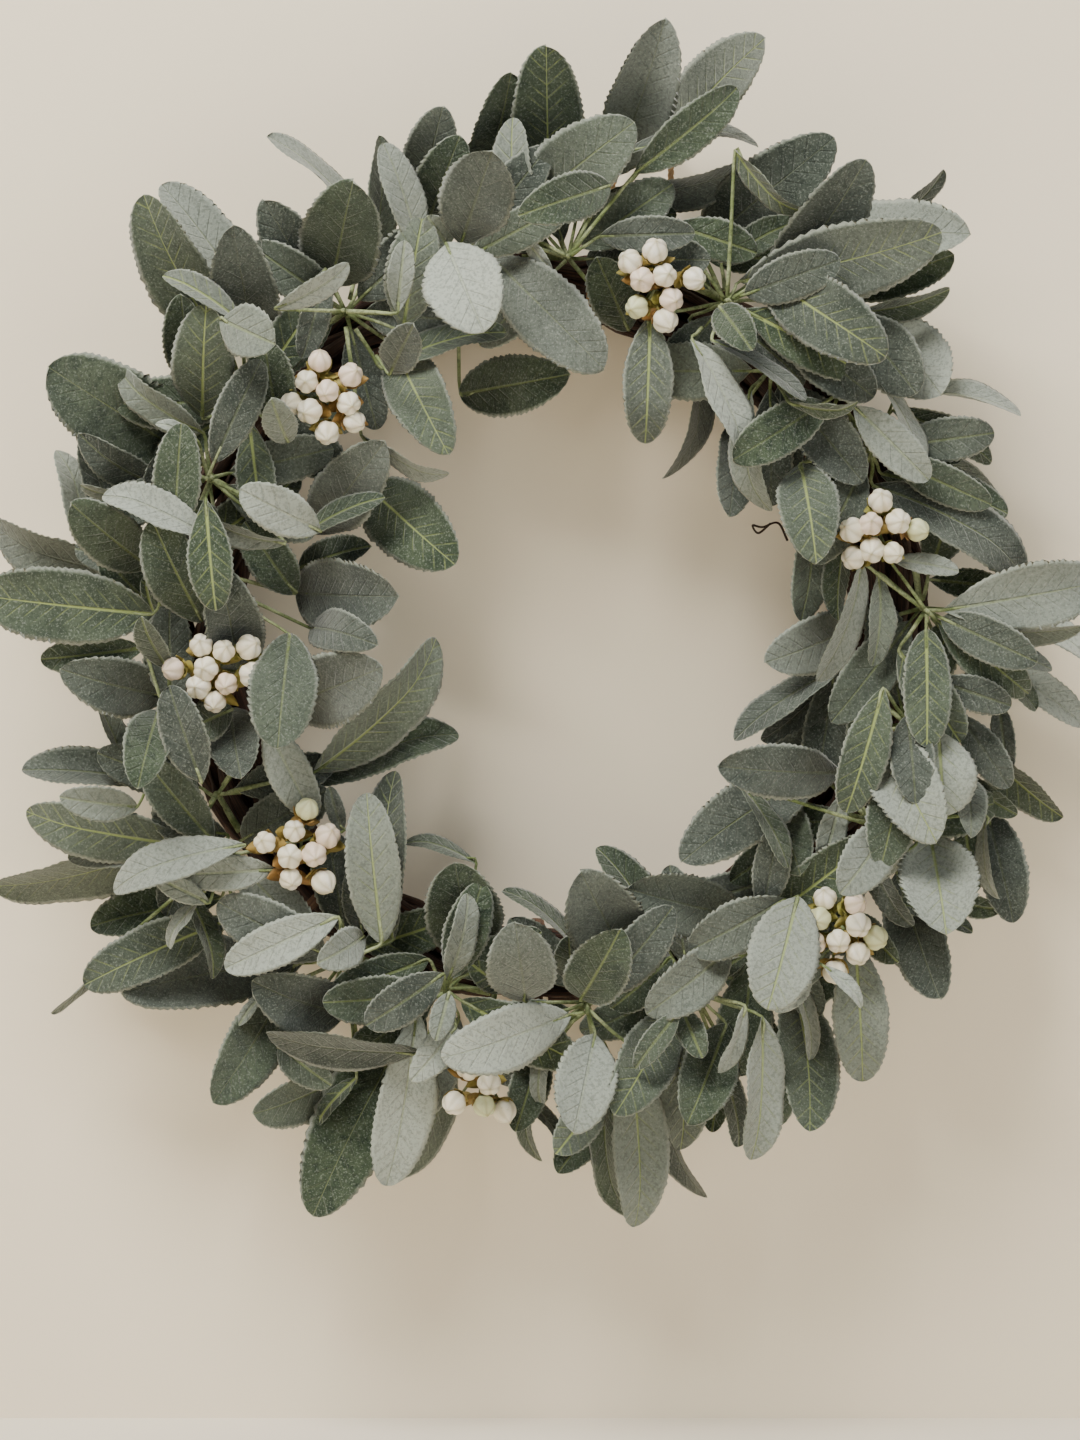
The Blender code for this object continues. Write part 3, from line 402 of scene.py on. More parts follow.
def berry_material():
    """Cream skin, darker in the grooves and blushed or greened a little, from each berry's own tint."""
    material, n, shader = new_material("berry_skin", 0.5)
    groove, greened, blush, _ = n.attribute("berry")
    where = n.object_place()
    spots = n.noise(where, 350.0, 4.0, 0.6)
    colour = n.mix(n.ramp(n.noise(where, 120.0), 0.3, 0.7), BERRY_CREAM, BERRY_WHITE)
    colour = n.mix(n.times(greened, 0.75), colour, BERRY_GREEN)
    colour = n.mix(n.times(blush, 0.55), colour, BERRY_PINK)
    colour = n.mix(n.times(groove, 0.75), colour, BERRY_GROOVE)
    colour = n.mix(n.times(n.ramp(spots, 0.58, 0.72), 0.25), colour, BERRY_GROOVE)
    n.put(shader.inputs["Base Color"], colour)
    shader.inputs["Subsurface Weight"].default_value = 0.15
    shader.inputs["Subsurface Radius"].default_value = (0.003, 0.002, 0.001)
    n.bump(shader, spots, 0.25, 0.0004)
    n.put(shader.inputs["Roughness"], n.plus(0.38, n.times(spots, 0.25)))
    return material


def sepal_material():
    """Waxy sepals, from yellow-green to orange-brown."""
    material, n, shader = new_material("berry_sepals", 0.6)
    rust = n.attribute("berry")[0]
    grain = n.noise(n.object_place(), 300.0, 3.0)
    colour = n.mix(rust, SEPAL_GREEN, SEPAL_RUST)
    n.put(shader.inputs["Base Color"], n.mix(n.times(grain, 0.5), colour, SEPAL_DARK))
    n.bump(shader, grain, 0.4, 0.0004)
    return material


def jute_material():
    """Jute: fibres that run along each ply, read from the ply's own attribute."""
    material, n, shader = new_material("jute", 0.95)
    along = n.add("ShaderNodeAttribute", attribute_name="bark").outputs["Vector"]
    stretch = n.add("ShaderNodeMapping")
    n.put(stretch.inputs["Vector"], along)
    stretch.inputs["Scale"].default_value = (40.0, 400.0, 400.0)
    fibres = n.noise(stretch.outputs[0], 5.0, 4.0, 0.7)
    n.put(shader.inputs["Base Color"], n.mix(n.ramp(fibres, 0.3, 0.7), JUTE_DARK, JUTE_LIGHT))
    n.bump(shader, fibres, 0.9, 0.0005)
    return material


SAGE_GREY = (0.080, 0.095, 0.079, 1)
SAGE_GREEN = (0.058, 0.082, 0.046, 1)
SLATE = (0.022, 0.031, 0.026, 1)
FOREST = (0.008, 0.021, 0.011, 1)
DEEP = (0.007, 0.012, 0.008, 1)
FROST = (0.41, 0.45, 0.395, 1)
UNDERSIDE = (0.32, 0.355, 0.295, 1)
RIM = (0.48, 0.52, 0.42, 1)
MIDRIB = (0.33, 0.40, 0.13, 1)
STEM_GREEN = (0.17, 0.22, 0.08, 1)
STEM_PALE = (0.36, 0.41, 0.22, 1)
BARK_DARK = (0.012, 0.006, 0.004, 1)
BARK_LIGHT = (0.10, 0.045, 0.028, 1)
BARK_GREY = (0.09, 0.065, 0.05, 1)
SPLIT_DARK = (0.05, 0.022, 0.012, 1)
SPLIT_LIGHT = (0.22, 0.12, 0.07, 1)
BERRY_CREAM = (0.84, 0.78, 0.62, 1)
BERRY_WHITE = (0.93, 0.90, 0.80, 1)
BERRY_GREEN = (0.55, 0.60, 0.30, 1)
BERRY_PINK = (0.80, 0.58, 0.48, 1)
BERRY_GROOVE = (0.34, 0.29, 0.11, 1)
SEPAL_GREEN = (0.34, 0.33, 0.07, 1)
SEPAL_RUST = (0.42, 0.22, 0.06, 1)
SEPAL_DARK = (0.06, 0.05, 0.015, 1)
JUTE_DARK = (0.22, 0.12, 0.05, 1)
JUTE_LIGHT = (0.58, 0.38, 0.20, 1)

# ---------------------------------------------------------------- leaves

# What each tone is: (paleness, green against grey, vein strength, mottling)
TONES = {
    "white": (0.90, 0.3, 0.1, 0.3), "white veined": (0.72, 0.5, 0.9, 0.2), "pale": (0.50, 0.3, 0.2, 0.2),
    "pale veined": (0.42, 0.5, 0.9, 0.2), "blue": (0.20, 0.1, 0.1, 0.3), "blue veined": (0.22, 0.3, 0.9, 0.3),
    "slate": (0.0, 0.0, 0.1, 0.2), "sage": (0.12, 0.3, 0.15, 0.2), "sage veined": (0.10, 0.35, 0.9, 0.2),
    "green": (0.12, 0.8, 0.3, 0.3), "green veined": (0.12, 0.85, 1.0, 0.3), "dark": (0.0, 1.0, 0.2, 1.0),
    "olive": (0.0, 0.9, 0.4, 0.3), "olive veined": (0.05, 1.0, 1.0, 0.3), "mottled": (0.45, 0.8, 0.3, 1.0),
}

# Darker tones for the leaves that aren't listed below: painted shade, so that the deep gaps between leaves
# look darker
FILLER_SHADE_TONES = ("sage", "slate", "slate", "olive", "green", "dark", "olive veined", "slate", "sage", "olive")

# Leaf tips of each tone, in mm from the ring's centre; any other leaf takes one of the darker filler tones
# above, painted shade for the deep gaps between leaves
TIP_REACH = 6.0                   # how near a leaf's tip has to be to a listed one, in mm
TONE_TIPS = {
    "white": ((-191, 107), (-97, 183), (-32, 152), (97, 92), (277, -12), (272, -46), (115, -183),
        (155, -178), (85, -216), (-65, -216), (-80, -276), (-160, -163), (-216, 74), (-150, 74),
        (-48, -204), (194, 120)),
    "white veined": ((189, -96), (195, -87), (108, -179), (195, -141), (103, -260)),
    "pale": ((-139, 249), (-80, 243), (-193, 225), (-70, 195), (6, 184), (2, 181), (204, 200), (187, 80),
        (235, 111), (165, 64), (133, -21), (203, 33), (276, 28), (253, -16), (137, -113), (66, -165),
        (145, -121), (222, -132), (133, -213), (-5, -234), (13, -240), (-39, -127), (-55, -196),
        (-112, -158), (-155, -195), (-190, -151), (-184, -117), (-216, -121), (-117, -90), (-243, 92),
        (-231, 75), (-167, 58), (-52, 77)),
    "pale veined": ((-18, 256), (158, -223), (47, -297), (-90, -78), (-187, 179)),
    "blue": ((27, 133), (57, 301), (99, 231), (110, -11), (70, -155), (16, -114), (-16, -138),
        (-67, -246), (-241, -111), (-265, -68), (-170, -90), (-282, 50)),
    "blue veined": ((105, 294), (48, 97), (70, -262)),
    "slate": ((-137, 211), (-153, 200), (-89, 197), (-27, 237), (102, 250), (137, 243), (154, 233),
        (72, 199), (199, 231), (160, 119), (126, 126), (126, 118), (68, 78), (117, 70), (241, 33),
        (230, -34), (231, -76), (180, -78), (134, -77), (92, -50), (108, -54), (84, -61), (67, -109),
        (66, -137), (234, -142), (194, -178), (99, -263), (78, -291), (11, -264), (-90, -191),
        (-140, -198), (-212, -177), (-198, -92), (-98, -118), (-152, -68), (-232, 100), (-236, -17),
        (-160, 32), (-76, 21), (-88, 0), (-82, 95)),
    "sage veined": ((189, 197), (160, 141), (-233, -175), (-78, -68)),
    "green": ((-18, 277), (38, 250), (85, 78), (127, 7), (161, -14), (268, 4), (126, -176), (76, -206),
        (43, -211), (-21, -128), (-73, -115), (-71, -103), (-74, -282), (-109, -223), (-146, -238),
        (-127, 38), (-104, 9)),
    "green veined": ((130, 44), (205, -52), (262, -95), (131, -245), (35, -230), (-282, -130),
        (-258, -90), (-52, -8)),
    "dark": ((-84, 249), (-44, 244), (-245, 133), (-139, 146), (64, 209), (24, 187), (201, 189),
        (222, 88), (120, 152), (118, 188), (122, 206), (205, 88), (232, 64), (228, 24), (262, -25),
        (247, -36), (119, -113), (125, -116), (92, -124), (227, -140), (38, -297), (-9, -271),
        (-46, -113), (-118, -289), (-103, -218), (-166, -231), (-233, -149), (-48, -46), (-180, -92),
        (-200, -70), (-221, 40), (-151, 57)),
    "olive": ((-95, 221), (-92, 147), (-108, 154), (-10, 208), (5, 129), (93, 269), (103, 190), (88, 168),
        (199, 172), (97, 144), (144, 8), (230, 62), (236, -91), (213, -148), (173, -161), (119, -250),
        (84, -257), (79, -176), (70, -238), (32, -186), (26, -266), (5, -273), (-16, -246), (10, -150),
        (27, -107), (-108, -178), (-166, -170), (-209, -129), (-187, -48), (-231, 66), (-252, -11),
        (-199, 10), (-193, 58), (-157, 50), (-178, 67), (-81, 70), (-90, 45)),
    "olive veined": ((-199, 216), (-62, 206), (-167, 162), (-21, 152), (-52, 97), (122, 207), (152, 128),
        (147, -85), (4, -255), (-117, -246), (-281, 21), (-98, -5), (-201, 30), (-48, 38)),
    "mottled": ((-133, 145), (-134, 118), (-213, 130), (-59, 207), (103, 63), (152, -123), (141, -212),
        (-194, -117), (-241, -78), (-229, -33)),
}


def tone_of(tip, other):
    """The tone whose listed tip is nearest, or the other tone if none is near enough."""
    x, z = (tip[0] - RING[0]) / MM, (tip[2] - RING[2]) / MM
    best, name = TIP_REACH, other
    for tone, tips in TONE_TIPS.items():
        for tip_x, tip_z in tips:
            distance = math.hypot(tip_x - x, tip_z - z)
            if distance < best:
                best, name = distance, tone
    return TONES[name]


SAME_POINT = 2e-6                 # points nearer than this count as one
BLADE_THICKNESS = 1.6 * MM        # of a CAD leaf at its midrib, and how far it may be off
THICKNESS_PLAY = 0.2 * MM


def merged_node(node):
    """A CAD node's points, each once, and its triangles."""
    mesh = bpy.data.objects[node].data
    points = np.empty(len(mesh.vertices) * 3)
    mesh.vertices.foreach_get("co", points)
    mesh.calc_loop_triangles()
    triangles = np.empty(len(mesh.loop_triangles) * 3, int)
    mesh.loop_triangles.foreach_get("vertices", triangles)
    points = points.reshape(-1, 3)
    cells = np.round(points / SAME_POINT).astype(int)
    _, first, index = np.unique(cells, axis=0, return_index=True, return_inverse=True)
    return points[first], index.reshape(-1)[triangles].reshape(-1, 3)


def leaves_in(node):
    """The leaves in a spray, each found from its tip by stepping back over rows of four points to its stalk.

    A leaf whose rows were cut where it meets another one isn't found, and stays undrawn.
    """
    points, triangles = merged_node(node)
    near = [set() for _ in points]
    for a, b, c in triangles:
        near[a] |= {b, c}
        near[b] |= {a, c}
        near[c] |= {a, b}
    found = []
    for tip, row_two in enumerate(near):
        if len(row_two) != 4:
            continue
        row_one = set().union(*(near[i] for i in row_two)) - row_two - {tip}
        if len(row_one) != 4:
            continue
        base = set().union(*(near[i] for i in row_one)) - row_one - row_two
        if len(base) != 4:
            continue
        rows = [sorted_row(points[list(row)]) for row in (row_one, row_two)]
        if rows[1] is None or rows[0] is None:
            continue
        before = set().union(*(near[i] for i in base)) - base - row_one
        start = points[list(before)].mean(axis=0) if before else points[list(base)].mean(axis=0)
        middle = points[list(base)].mean(axis=0)
        found.append({"tip": points[tip], "rows": rows, "base": middle, "start": start})
    return found


def sorted_row(row):
    """A row's (left, right, front, back) points: the two farthest apart are the rim, the others the faces."""
    gaps = np.linalg.norm(row[:, None] - row[None], axis=-1)
    left, right = np.unravel_index(np.argmax(gaps), gaps.shape)
    front, back = [i for i in range(4) if i not in (left, right)]
    if not abs(gaps[front, back] - BLADE_THICKNESS) < THICKNESS_PLAY:
        return None
    if row[front][1] > row[back][1]:
        front, back = back, front
    return row[left], row[right], row[front], row[back]


LEAF_ROWS = 56
LEAF_COLUMNS = 11
TOOTH = 3.4 * MM                  # between two teeth of a leaf's rim
SIDE_VEIN = 7.5                   # between two side veins, in mm
LONGEST_LEAF = 100.0              # in mm: what 1 stands for in a leaf's own length and half width values
WIDEST_HALF = 30.0


def cubic_through(values, nodes, u):
    """The cubic curve through four points at the given parameters, read at u."""
    line = np.zeros((len(u), 3))
    for i in range(4):
        weight = np.ones(len(u))
        for j in range(4):
            if j != i:
                weight *= (u - nodes[j]) / (nodes[i] - nodes[j])
        line += weight[:, None] * values[i]
    return line


def blade(leaf, tone, random):
    """A leaf as a loft of flattened loops.

    The midline is the cubic through the base, both rows and the tip. The half width is a power of the
    sine of a skewed length, so that the leaf is oblong with a blunt tip, and its rim carries small
    forward-leaning teeth. Across the leaf the surface rises towards the rim as a power of the distance,
    dips at the midrib and swells between the side veins; slow waves make the rim rise and fall, and near
    the tip the leaf rolls back.
    """
    (left1, right1, front1, back1), (left2, right2, front2, back2) = leaf["rows"]
    middle1, middle2 = (front1 + back1) / 2, (front2 + back2) / 2
    if np.dot(right1 - left1, right2 - left2) < 0:
        left2, right2 = right2, left2
    across = unit((right1 - left1) + (right2 - left2))
    normal = unit((front1 - back1) + (front2 - back2))
    half = (np.linalg.norm(right1 - left1) / 0.86 + np.linalg.norm(right2 - left2) / 0.96) / 4
    cup = np.dot((left1 + right1) / 2 - middle1, normal) / half
    u = 1 - (1 - np.linspace(0, 1, LEAF_ROWS)) ** 1.3
    middle = cubic_through([leaf["base"], middle1, middle2, leaf["tip"]], [0.0, 0.36, 0.72, 1.0], u)
    length = np.linalg.norm(np.diff(middle, axis=0), axis=1).sum()
    skew = u ** random.uniform(0.95, 1.2)
    outline = np.sin(np.pi * np.clip(skew, 0, 1)) ** random.uniform(0.58, 0.74)
    blunt = np.sqrt(np.clip(1 - (np.maximum(u - 0.5, 0) / 0.5) ** 2.4, 0, 1))
    outline = np.where(u > 0.5, np.maximum(outline, blunt), outline)
    outline = outline * half * random.uniform(1.0, 1.07)
    outline = np.maximum(outline, 0.8 * MM * (1 - u) + 0.08 * MM)
    tooth = (u * length / TOOTH + random.uniform(0, 1)) % 1.0
    bite = (0.10 * (1 - tooth) - 0.045) * np.clip(outline / (6 * MM), 0.3, 1)
    teeth = 1 + bite + random.normal(0, 0.006, LEAF_ROWS)
    v = np.concatenate([np.linspace(-1, 1, LEAF_COLUMNS), np.linspace(1, -1, LEAF_COLUMNS)[1:-1]])
    v = np.sign(v) * np.abs(v) ** 0.85
    face = np.concatenate([np.ones(LEAF_COLUMNS), -np.ones(LEAF_COLUMNS - 2)])
    face[[0, LEAF_COLUMNS - 1]] = 0
    size, edge = u[:, None], np.abs(v[None])
    offset = v[None] * outline[:, None] * np.where(edge > 0.99, teeth[:, None], 1.0)
    phase, beat = random.uniform(0, 6, 2), random.uniform(6, 12, 2)
    right_wave = np.sin(size * beat[0] + phase[0]) * (v[None] > 0)
    left_wave = np.sin(size * beat[1] + phase[1]) * (v[None] < 0)
    wave = random.uniform(0.03, 0.13) * half * (right_wave + left_wave) * edge ** 2
    fold = random.uniform(0.9, 1.5) if random.random() < 0.6 else random.uniform(1.6, 2.6)
    relief = cup * outline[:, None] * edge ** 1.7 * fold + wave
    relief -= random.uniform(0.4, 0.8) * MM * np.exp(-(offset / (1.2 * MM)) ** 2) * (1 - 0.6 * size)
    swell = np.sin((size * length - np.abs(offset) * 1.05) / (SIDE_VEIN * MM) * 2 * np.pi)
    relief += 0.22 * MM * swell * np.clip(edge * 2, 0, 1) * (1 - edge ** 3)
    roll = random.uniform(0.0, 0.06) if random.random() < 0.7 else random.uniform(0.08, 0.16)
    relief -= roll * length * np.clip((size - 0.66) / 0.34, 0, 1) ** 2
    thick = (0.42 - 0.3 * edge ** 2) * MM * (0.4 + 0.6 * np.sin(np.pi * np.clip(size, 0.04, 0.96)))
    section = middle[:, None] + across * offset[..., None] + normal * (relief + face[None] * thick)[..., None]
    place = np.empty(offset.shape + (4,))
    place[..., 0] = size * length / (LONGEST_LEAF * MM)
    place[..., 1] = np.abs(offset) / (WIDEST_HALF * MM)
    place[..., 2] = np.maximum(edge, np.clip((size - 0.97) / 0.03, 0, 1))
    place[..., 3] = (face[None] < 0)
    return loft(section), place.reshape(-1, 4), np.asarray(tone)


def stalk(leaf, random):
    """A fuzzy stalk from the stem to the leaf's base and a little way on under its midrib."""
    onward = leaf["base"] + ((leaf["rows"][0][2] + leaf["rows"][0][3]) / 2 - leaf["base"]) * 0.45
    path = smooth_path([leaf["start"], leaf["start"] * 0.45 + leaf["base"] * 0.55, leaf["base"], onward], 10)
    radius = np.linspace(1.05, 0.62, 10) * MM * random.uniform(0.9, 1.15)
    return loft(tube(path, radius, 7))


# Stems: (degrees from the top, distance from the ring's centre in mm), in the order of the sprays
HUBS = (
    (3, 188), (28, 188), (40, 172), (50, 188), (60, 186), (86, 188), (104, 186), (120, 188),
    (144, 180), (158, 192), (174, 188), (196, 186), (212, 192), (236, 196), (244, 186),
    (256, 194), (281, 188), (295, 186), (308, 190), (328, 190), (346, 190),
)
STEM_FRONTS = (26, 45, 66)
STEM_TUCK = 7.0
STEM_RADIUS = 1.8 * MM


def ring_point(angle, around, radius):
    """A point at this radius from the bundle's centre line; around is 0 outward, a quarter turn in front."""
    angle, around = np.asarray(angle, float), np.asarray(around, float)
    outward = np.stack([np.sin(angle), np.zeros_like(angle), np.cos(angle)], axis=-1)
    reach = RING_RADIUS + radius * np.cos(around)
    point = RING + outward * np.asarray(reach)[..., None]
    point[..., 1] -= radius * np.sin(around)
    return point


def stem_path(hub):
    """Tucked along the vines, then out to the front."""
    degrees, reach = HUBS[hub]
    rest = BUNDLE_RADIUS + 0.5 * MM + STEM_RADIUS
    offset = reach * MM - RING_RADIUS
    around = math.acos(max(-1.0, min(1.0, offset / (rest / math.cos(math.radians(STEM_TUCK / 2))))))
    tucked = [math.radians(degrees - STEM_TUCK * (1 - i / 3)) for i in range(3)]
    points = [ring_point(angle, around, rest * 1.01) for angle in tucked]
    outward = np.array([math.sin(math.radians(degrees)), 0, math.cos(math.radians(degrees))])
    for front in STEM_FRONTS:
        points.append(RING + outward * reach * MM - np.array([0, front * MM, 0]))
    return smooth_path(points, 30)


def leaf_sprays(leaf_felt, stem_fuzz):
    """Replaces every CAD spray with its stem and stalks, and its detailed leaves."""
    for hub in range(len(HUBS)):
        node = f"leaf_spray_{hub + 1:02d}"
        random = np.random.default_rng(100 + hub)
        leaves = leaves_in(node)
        blades, stems = Build(), Build()
        stems.add(loft(tube(stem_path(hub), np.linspace(1.9, 1.1, 30) * MM, 8)))
        for leaf in leaves:
            # A leaf whose tip isn't listed gets one of the darker filler tones: painted shade for the gaps
            # between leaves
            tone = np.array(tone_of(leaf["tip"], FILLER_SHADE_TONES[int(random.integers(len(FILLER_SHADE_TONES)))]))
            tone = np.clip(tone + random.normal(0, 0.06, 4), 0, 1)
            shape, place, tone = blade(leaf, tone, random)
            blades.add(shape, leaf_place=place, leaf_tone=tone)
            stems.add(stalk(leaf, random))
        leaf_piece = blades.piece(f"spray_{hub + 1:02d}_leaves", leaf_felt)
        stem_piece = stems.piece(f"spray_{hub + 1:02d}_stems", stem_fuzz)
        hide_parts(node)


# ---------------------------------------------------------------- berries

# Berry picks: (middle x, middle z in mm from the ring's centre, berries)
BERRY_PICKS = (
    (53, 175, 8), (-109, 117, 9), (163, 52, 8), (-163, -16, 9),
    (-122, -105, 8), (147, -145, 9), (-34, -230, 5),
)
PICK_FRONT = 66 * MM
BERRY_RADIUS = 6.1 * MM
BERRY_GAP = 0.7 * MM
PLAIN_BERRY, GREEN_BERRY, PINK_BERRY = (0.12, 0.15), (1.0, 0.0), (0.1, 1.0)  # (greened, blush)


def turned_frame(axis):
    """Two directions square to an axis."""
    side = unit(np.cross(axis, [0.3, 0.2, 1.0]))
    return side, np.cross(axis, side)


def berry(centre, axis, spin, tint, size):
    """A ball with five shallow grooves that deepen towards the small pointed nib where they meet."""
    rows, around = 17, 30
    polar = np.linspace(0.04, math.pi - 0.03, rows)[:, None]
    turn = np.linspace(0, 2 * math.pi, around, endpoint=False)[None]
    deepening = 0.35 + 0.65 * (1 - polar / math.pi)
    groove = np.abs(np.cos(2.5 * (turn + spin))) ** 8 * np.sin(polar) ** 0.6 * deepening
    radius = size * (1 - 0.17 * groove) * (1 - 0.05 * np.cos(polar) ** 2)
    nib = np.exp(-(polar / 0.22) ** 2) * 1.5 * MM
    side, up = turned_frame(axis)
    ball = (side * (np.cos(turn) * np.sin(polar))[..., None] + up * (np.sin(turn) * np.sin(polar))[..., None]
            + axis * np.cos(polar)[..., None] * np.ones_like(turn)[..., None])
    points = centre + ball * radius[..., None] + axis * (nib * np.ones_like(turn))[..., None]
    values = np.empty((rows, around, 4))
    values[..., 0] = np.clip(groove * 0.8 + np.exp(-(polar / 0.2) ** 2), 0, 1)
    values[..., 1], values[..., 2], values[..., 3] = tint[0], tint[1], 1
    return loft(points), values.reshape(-1, 4)


def sepals(centre, axis, random):
    """Five pointed sepals that clasp the back of a berry and two bracts that stand off it."""
    side, up = turned_frame(axis)
    shapes = []
    for k in range(7):
        bract = k > 4
        turn = 2 * math.pi * k / (2.4 if bract else 5) + random.uniform(-0.3, 0.3)
        out = side * math.cos(turn) + up * math.sin(turn)
        wide = np.cross(axis, out)
        t = np.linspace(0, 1, 8)[:, None]
        lean = random.uniform(0.9, 1.45) * t
        stand_off = random.uniform(0.4, 0.85) * t ** 1.5 if bract else 0.05 * t
        radius = (BERRY_RADIUS + 0.5 * MM) * (1 + stand_off)
        spine = centre - axis * radius * np.cos(lean) + out * radius * np.sin(lean)
        outward = unit(spine - centre)
        widest = random.uniform(3.2, 4.4) if bract else random.uniform(2.3, 3.2)
        width = widest * MM * np.sin(np.pi * (0.12 + 0.86 * t)) ** 0.8
        front, back = spine + outward * 0.35 * MM, spine - outward * 0.05 * MM
        corners = [spine - wide * width, front, spine + wide * width, back]
        shapes.append(loft(np.stack(corners, axis=1)))
    return shapes


def berry_picks(skin, sepal, stem_fuzz):
    """Replaces every CAD pick with its stem and stalks, berries and sepals."""
    pitch = 2 * BERRY_RADIUS + BERRY_GAP
    for index, (middle_x, middle_z, count) in enumerate(BERRY_PICKS, 1):
        random = np.random.default_rng(500 + index)
        angle = math.atan2(middle_x, middle_z)
        middle = RING + np.array([middle_x * MM, -PICK_FRONT, middle_z * MM])
        foot = ring_point(angle, math.pi / 2, BUNDLE_RADIUS + 0.5 * MM + STEM_RADIUS)
        fork = foot * 0.55 + middle * 0.45
        balls, clasps, stems = Build(), Build(), Build()
        stems.add(loft(tube(smooth_path([foot, foot + [0, -6 * MM, 0], fork, middle], 24),
                            np.linspace(1.8, 1.0, 24) * MM, 8)))
        for i in range(count):
            turn = math.radians(137.5 * i + 40 * index)
            spread = pitch * 0.62 * math.sqrt(i + 0.6)
            front = -7 * MM + 0.30 * spread
            centre = middle + np.array([math.cos(turn) * spread, front, math.sin(turn) * spread])
            centre = centre + (middle - centre) * random.uniform(0.06, 0.20) + random.normal(0, 0.9 * MM, 3)
            start = fork + (middle - fork) * 0.8 * (i + 1) / count
            axis = unit(centre - start - BACKWARD * 16 * MM)
            tint = PLAIN_BERRY
            if random.random() < 0.13:
                tint = GREEN_BERRY
            elif random.random() < 0.16:
                tint = PINK_BERRY
            axis = unit(axis + random.normal(0, 0.16, 3))
            spin, size = random.uniform(0, 1.2), BERRY_RADIUS * random.uniform(0.90, 1.08)
            shape, values = berry(centre, axis, spin, tint, size)
            balls.add(shape, berry=values)
            rust = random.uniform(0, 1) ** 1.4
            for clasp in sepals(centre, axis, random):
                clasps.add(clasp, berry=(rust, 0, 0, 1))
            under = centre - axis * BERRY_RADIUS * 0.9
            line = smooth_path([start, (start + under) / 2 + BACKWARD * MM, under], 10)
            stems.add(loft(tube(line, 0.75 * MM, 7)))
        ball_piece = balls.piece(f"pick_{index}_berries", skin)
        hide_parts(f"berry_pick_{index}")
        clasp_piece = clasps.piece(f"pick_{index}_sepals", sepal)
        stem_piece = stems.piece(f"pick_{index}_stems", stem_fuzz)


# ---------------------------------------------------------------- vines

def bark_values(path, around):
    """Length along the vine and the place round it, in metres, for streaks that follow it."""
    length = np.concatenate([[0], np.cumsum(np.linalg.norm(np.diff(path, axis=0), axis=1))])
    turn = np.linspace(0, 2 * math.pi, around, endpoint=False)
    values = np.empty((len(path), around, 4))
    values[..., 0] = length[:, None]
    values[..., 1], values[..., 2] = np.cos(turn) * 0.02, np.sin(turn) * 0.02
    values[..., 3] = 1
    return values.reshape(-1, 4)


VINE_RIPPLE = 0.07
WRAP_CLEAR = 0.25 * MM            # kept free inside the bundle's outline, so that the twine's wraps turn


def vines(bark):
    """Each CAD vine becomes three thinner vines twisted round its own lane, with knots and uneven girth."""
    for index in range(7):
        node = f"vine_strand_{index}" if index else "vine_core"
        random = np.random.default_rng(40 + index)
        build = Build()
        for ply in range(3):
            steps = 260
            start = math.radians(60) * index + math.radians(9 + random.uniform(-3, 3))
            angle = start + np.linspace(0, 2 * math.pi - math.radians(11), steps)
            lane = 2 * math.pi * index / 6 + 3 * angle
            centre = ring_point(angle, lane, LANE_RADIUS if index else 0.0)
            twist = 2 * math.pi * ply / 3 + 9 * angle + 0.5 * np.sin(4 * angle + ply)
            outward = np.stack([np.sin(angle), 0 * angle, np.cos(angle)], axis=-1)
            wander = 3.3 * MM
            path = centre + outward * (np.cos(twist) * wander)[:, None]
            path[:, 1] += np.sin(twist) * wander
            bumps = np.zeros(steps)
            for knot in random.uniform(0, steps, 14):
                bumps += np.exp(-((np.arange(steps) - knot) / 2.2) ** 2) * random.uniform(0.1, 0.35)
            swelling = 0.25 * np.sin(angle * 11 + ply) + 0.3 * np.sin(angle * 29 + index)
            girth = (3.0 + swelling) * MM * (1 + bumps)
            reach = np.linalg.norm(path - ring_point(angle, 0 * angle, 0.0), axis=1)
            girth = np.minimum(girth, (BUNDLE_RADIUS - WRAP_CLEAR - reach) / (1 + VINE_RIPPLE))
            build.add(loft(tube(path, girth, 9, VINE_RIPPLE, 20)), bark=bark_values(path, 9))
        piece = build.piece(node + "_bark", bark)
        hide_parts(node)


def tendrils(bark):
    """Thin curled tendrils and twig ends that stand off the bundle."""
    random = np.random.default_rng(77)
    build = Build()
    for k in range(26):
        angle = 2 * math.pi * (k + random.uniform(-0.3, 0.3)) / 26
        around = random.uniform(0.35, math.pi - 0.35)
        length = random.uniform(14, 42) * MM
        start = ring_point(angle, around, BUNDLE_RADIUS - 2 * MM)
        away = unit(start - ring_point(angle, 0.0, 0.0))
        tangent = np.array([math.cos(angle), 0, -math.sin(angle)]) * (1 if k % 2 else -1)
        t = np.linspace(0, 1, 34)
        curl = random.uniform(1.5, 4.0)
        path = (start + tangent * (t * length)[:, None] + away * (np.sin(t * math.pi * 0.8) * 7 * MM)[:, None]
                + away * (np.cos(t * curl * 6) - 1)[:, None] * 1.6 * MM * t[:, None]
                + BACKWARD * (np.sin(t * curl * 6) * 1.6 * MM * t)[:, None])
        build.add(loft(tube(path, (1.0 - 0.65 * t) * MM, 6)), bark=bark_values(path, 6))
    inner = RING + np.array([[121, -16, 46], [116, -20, 55], [108, -22, 53], [103, -24, 54], [106, -22, 50],
                             [112, -24, 55]]) * MM
    path = smooth_path(inner, 40)
    build.add(loft(tube(path, 0.6 * MM, 6)), bark=bark_values(path, 6))
    piece = build.piece("vine_tendrils", bark)


BINDING_ANGLES = (67, 128, 182, 221, 268.5, 312.5)
BINDING_WIDTH = 6 * MM
BINDING_THICKNESS = 2.4 * MM
BINDING_FLAT = 16 * MM


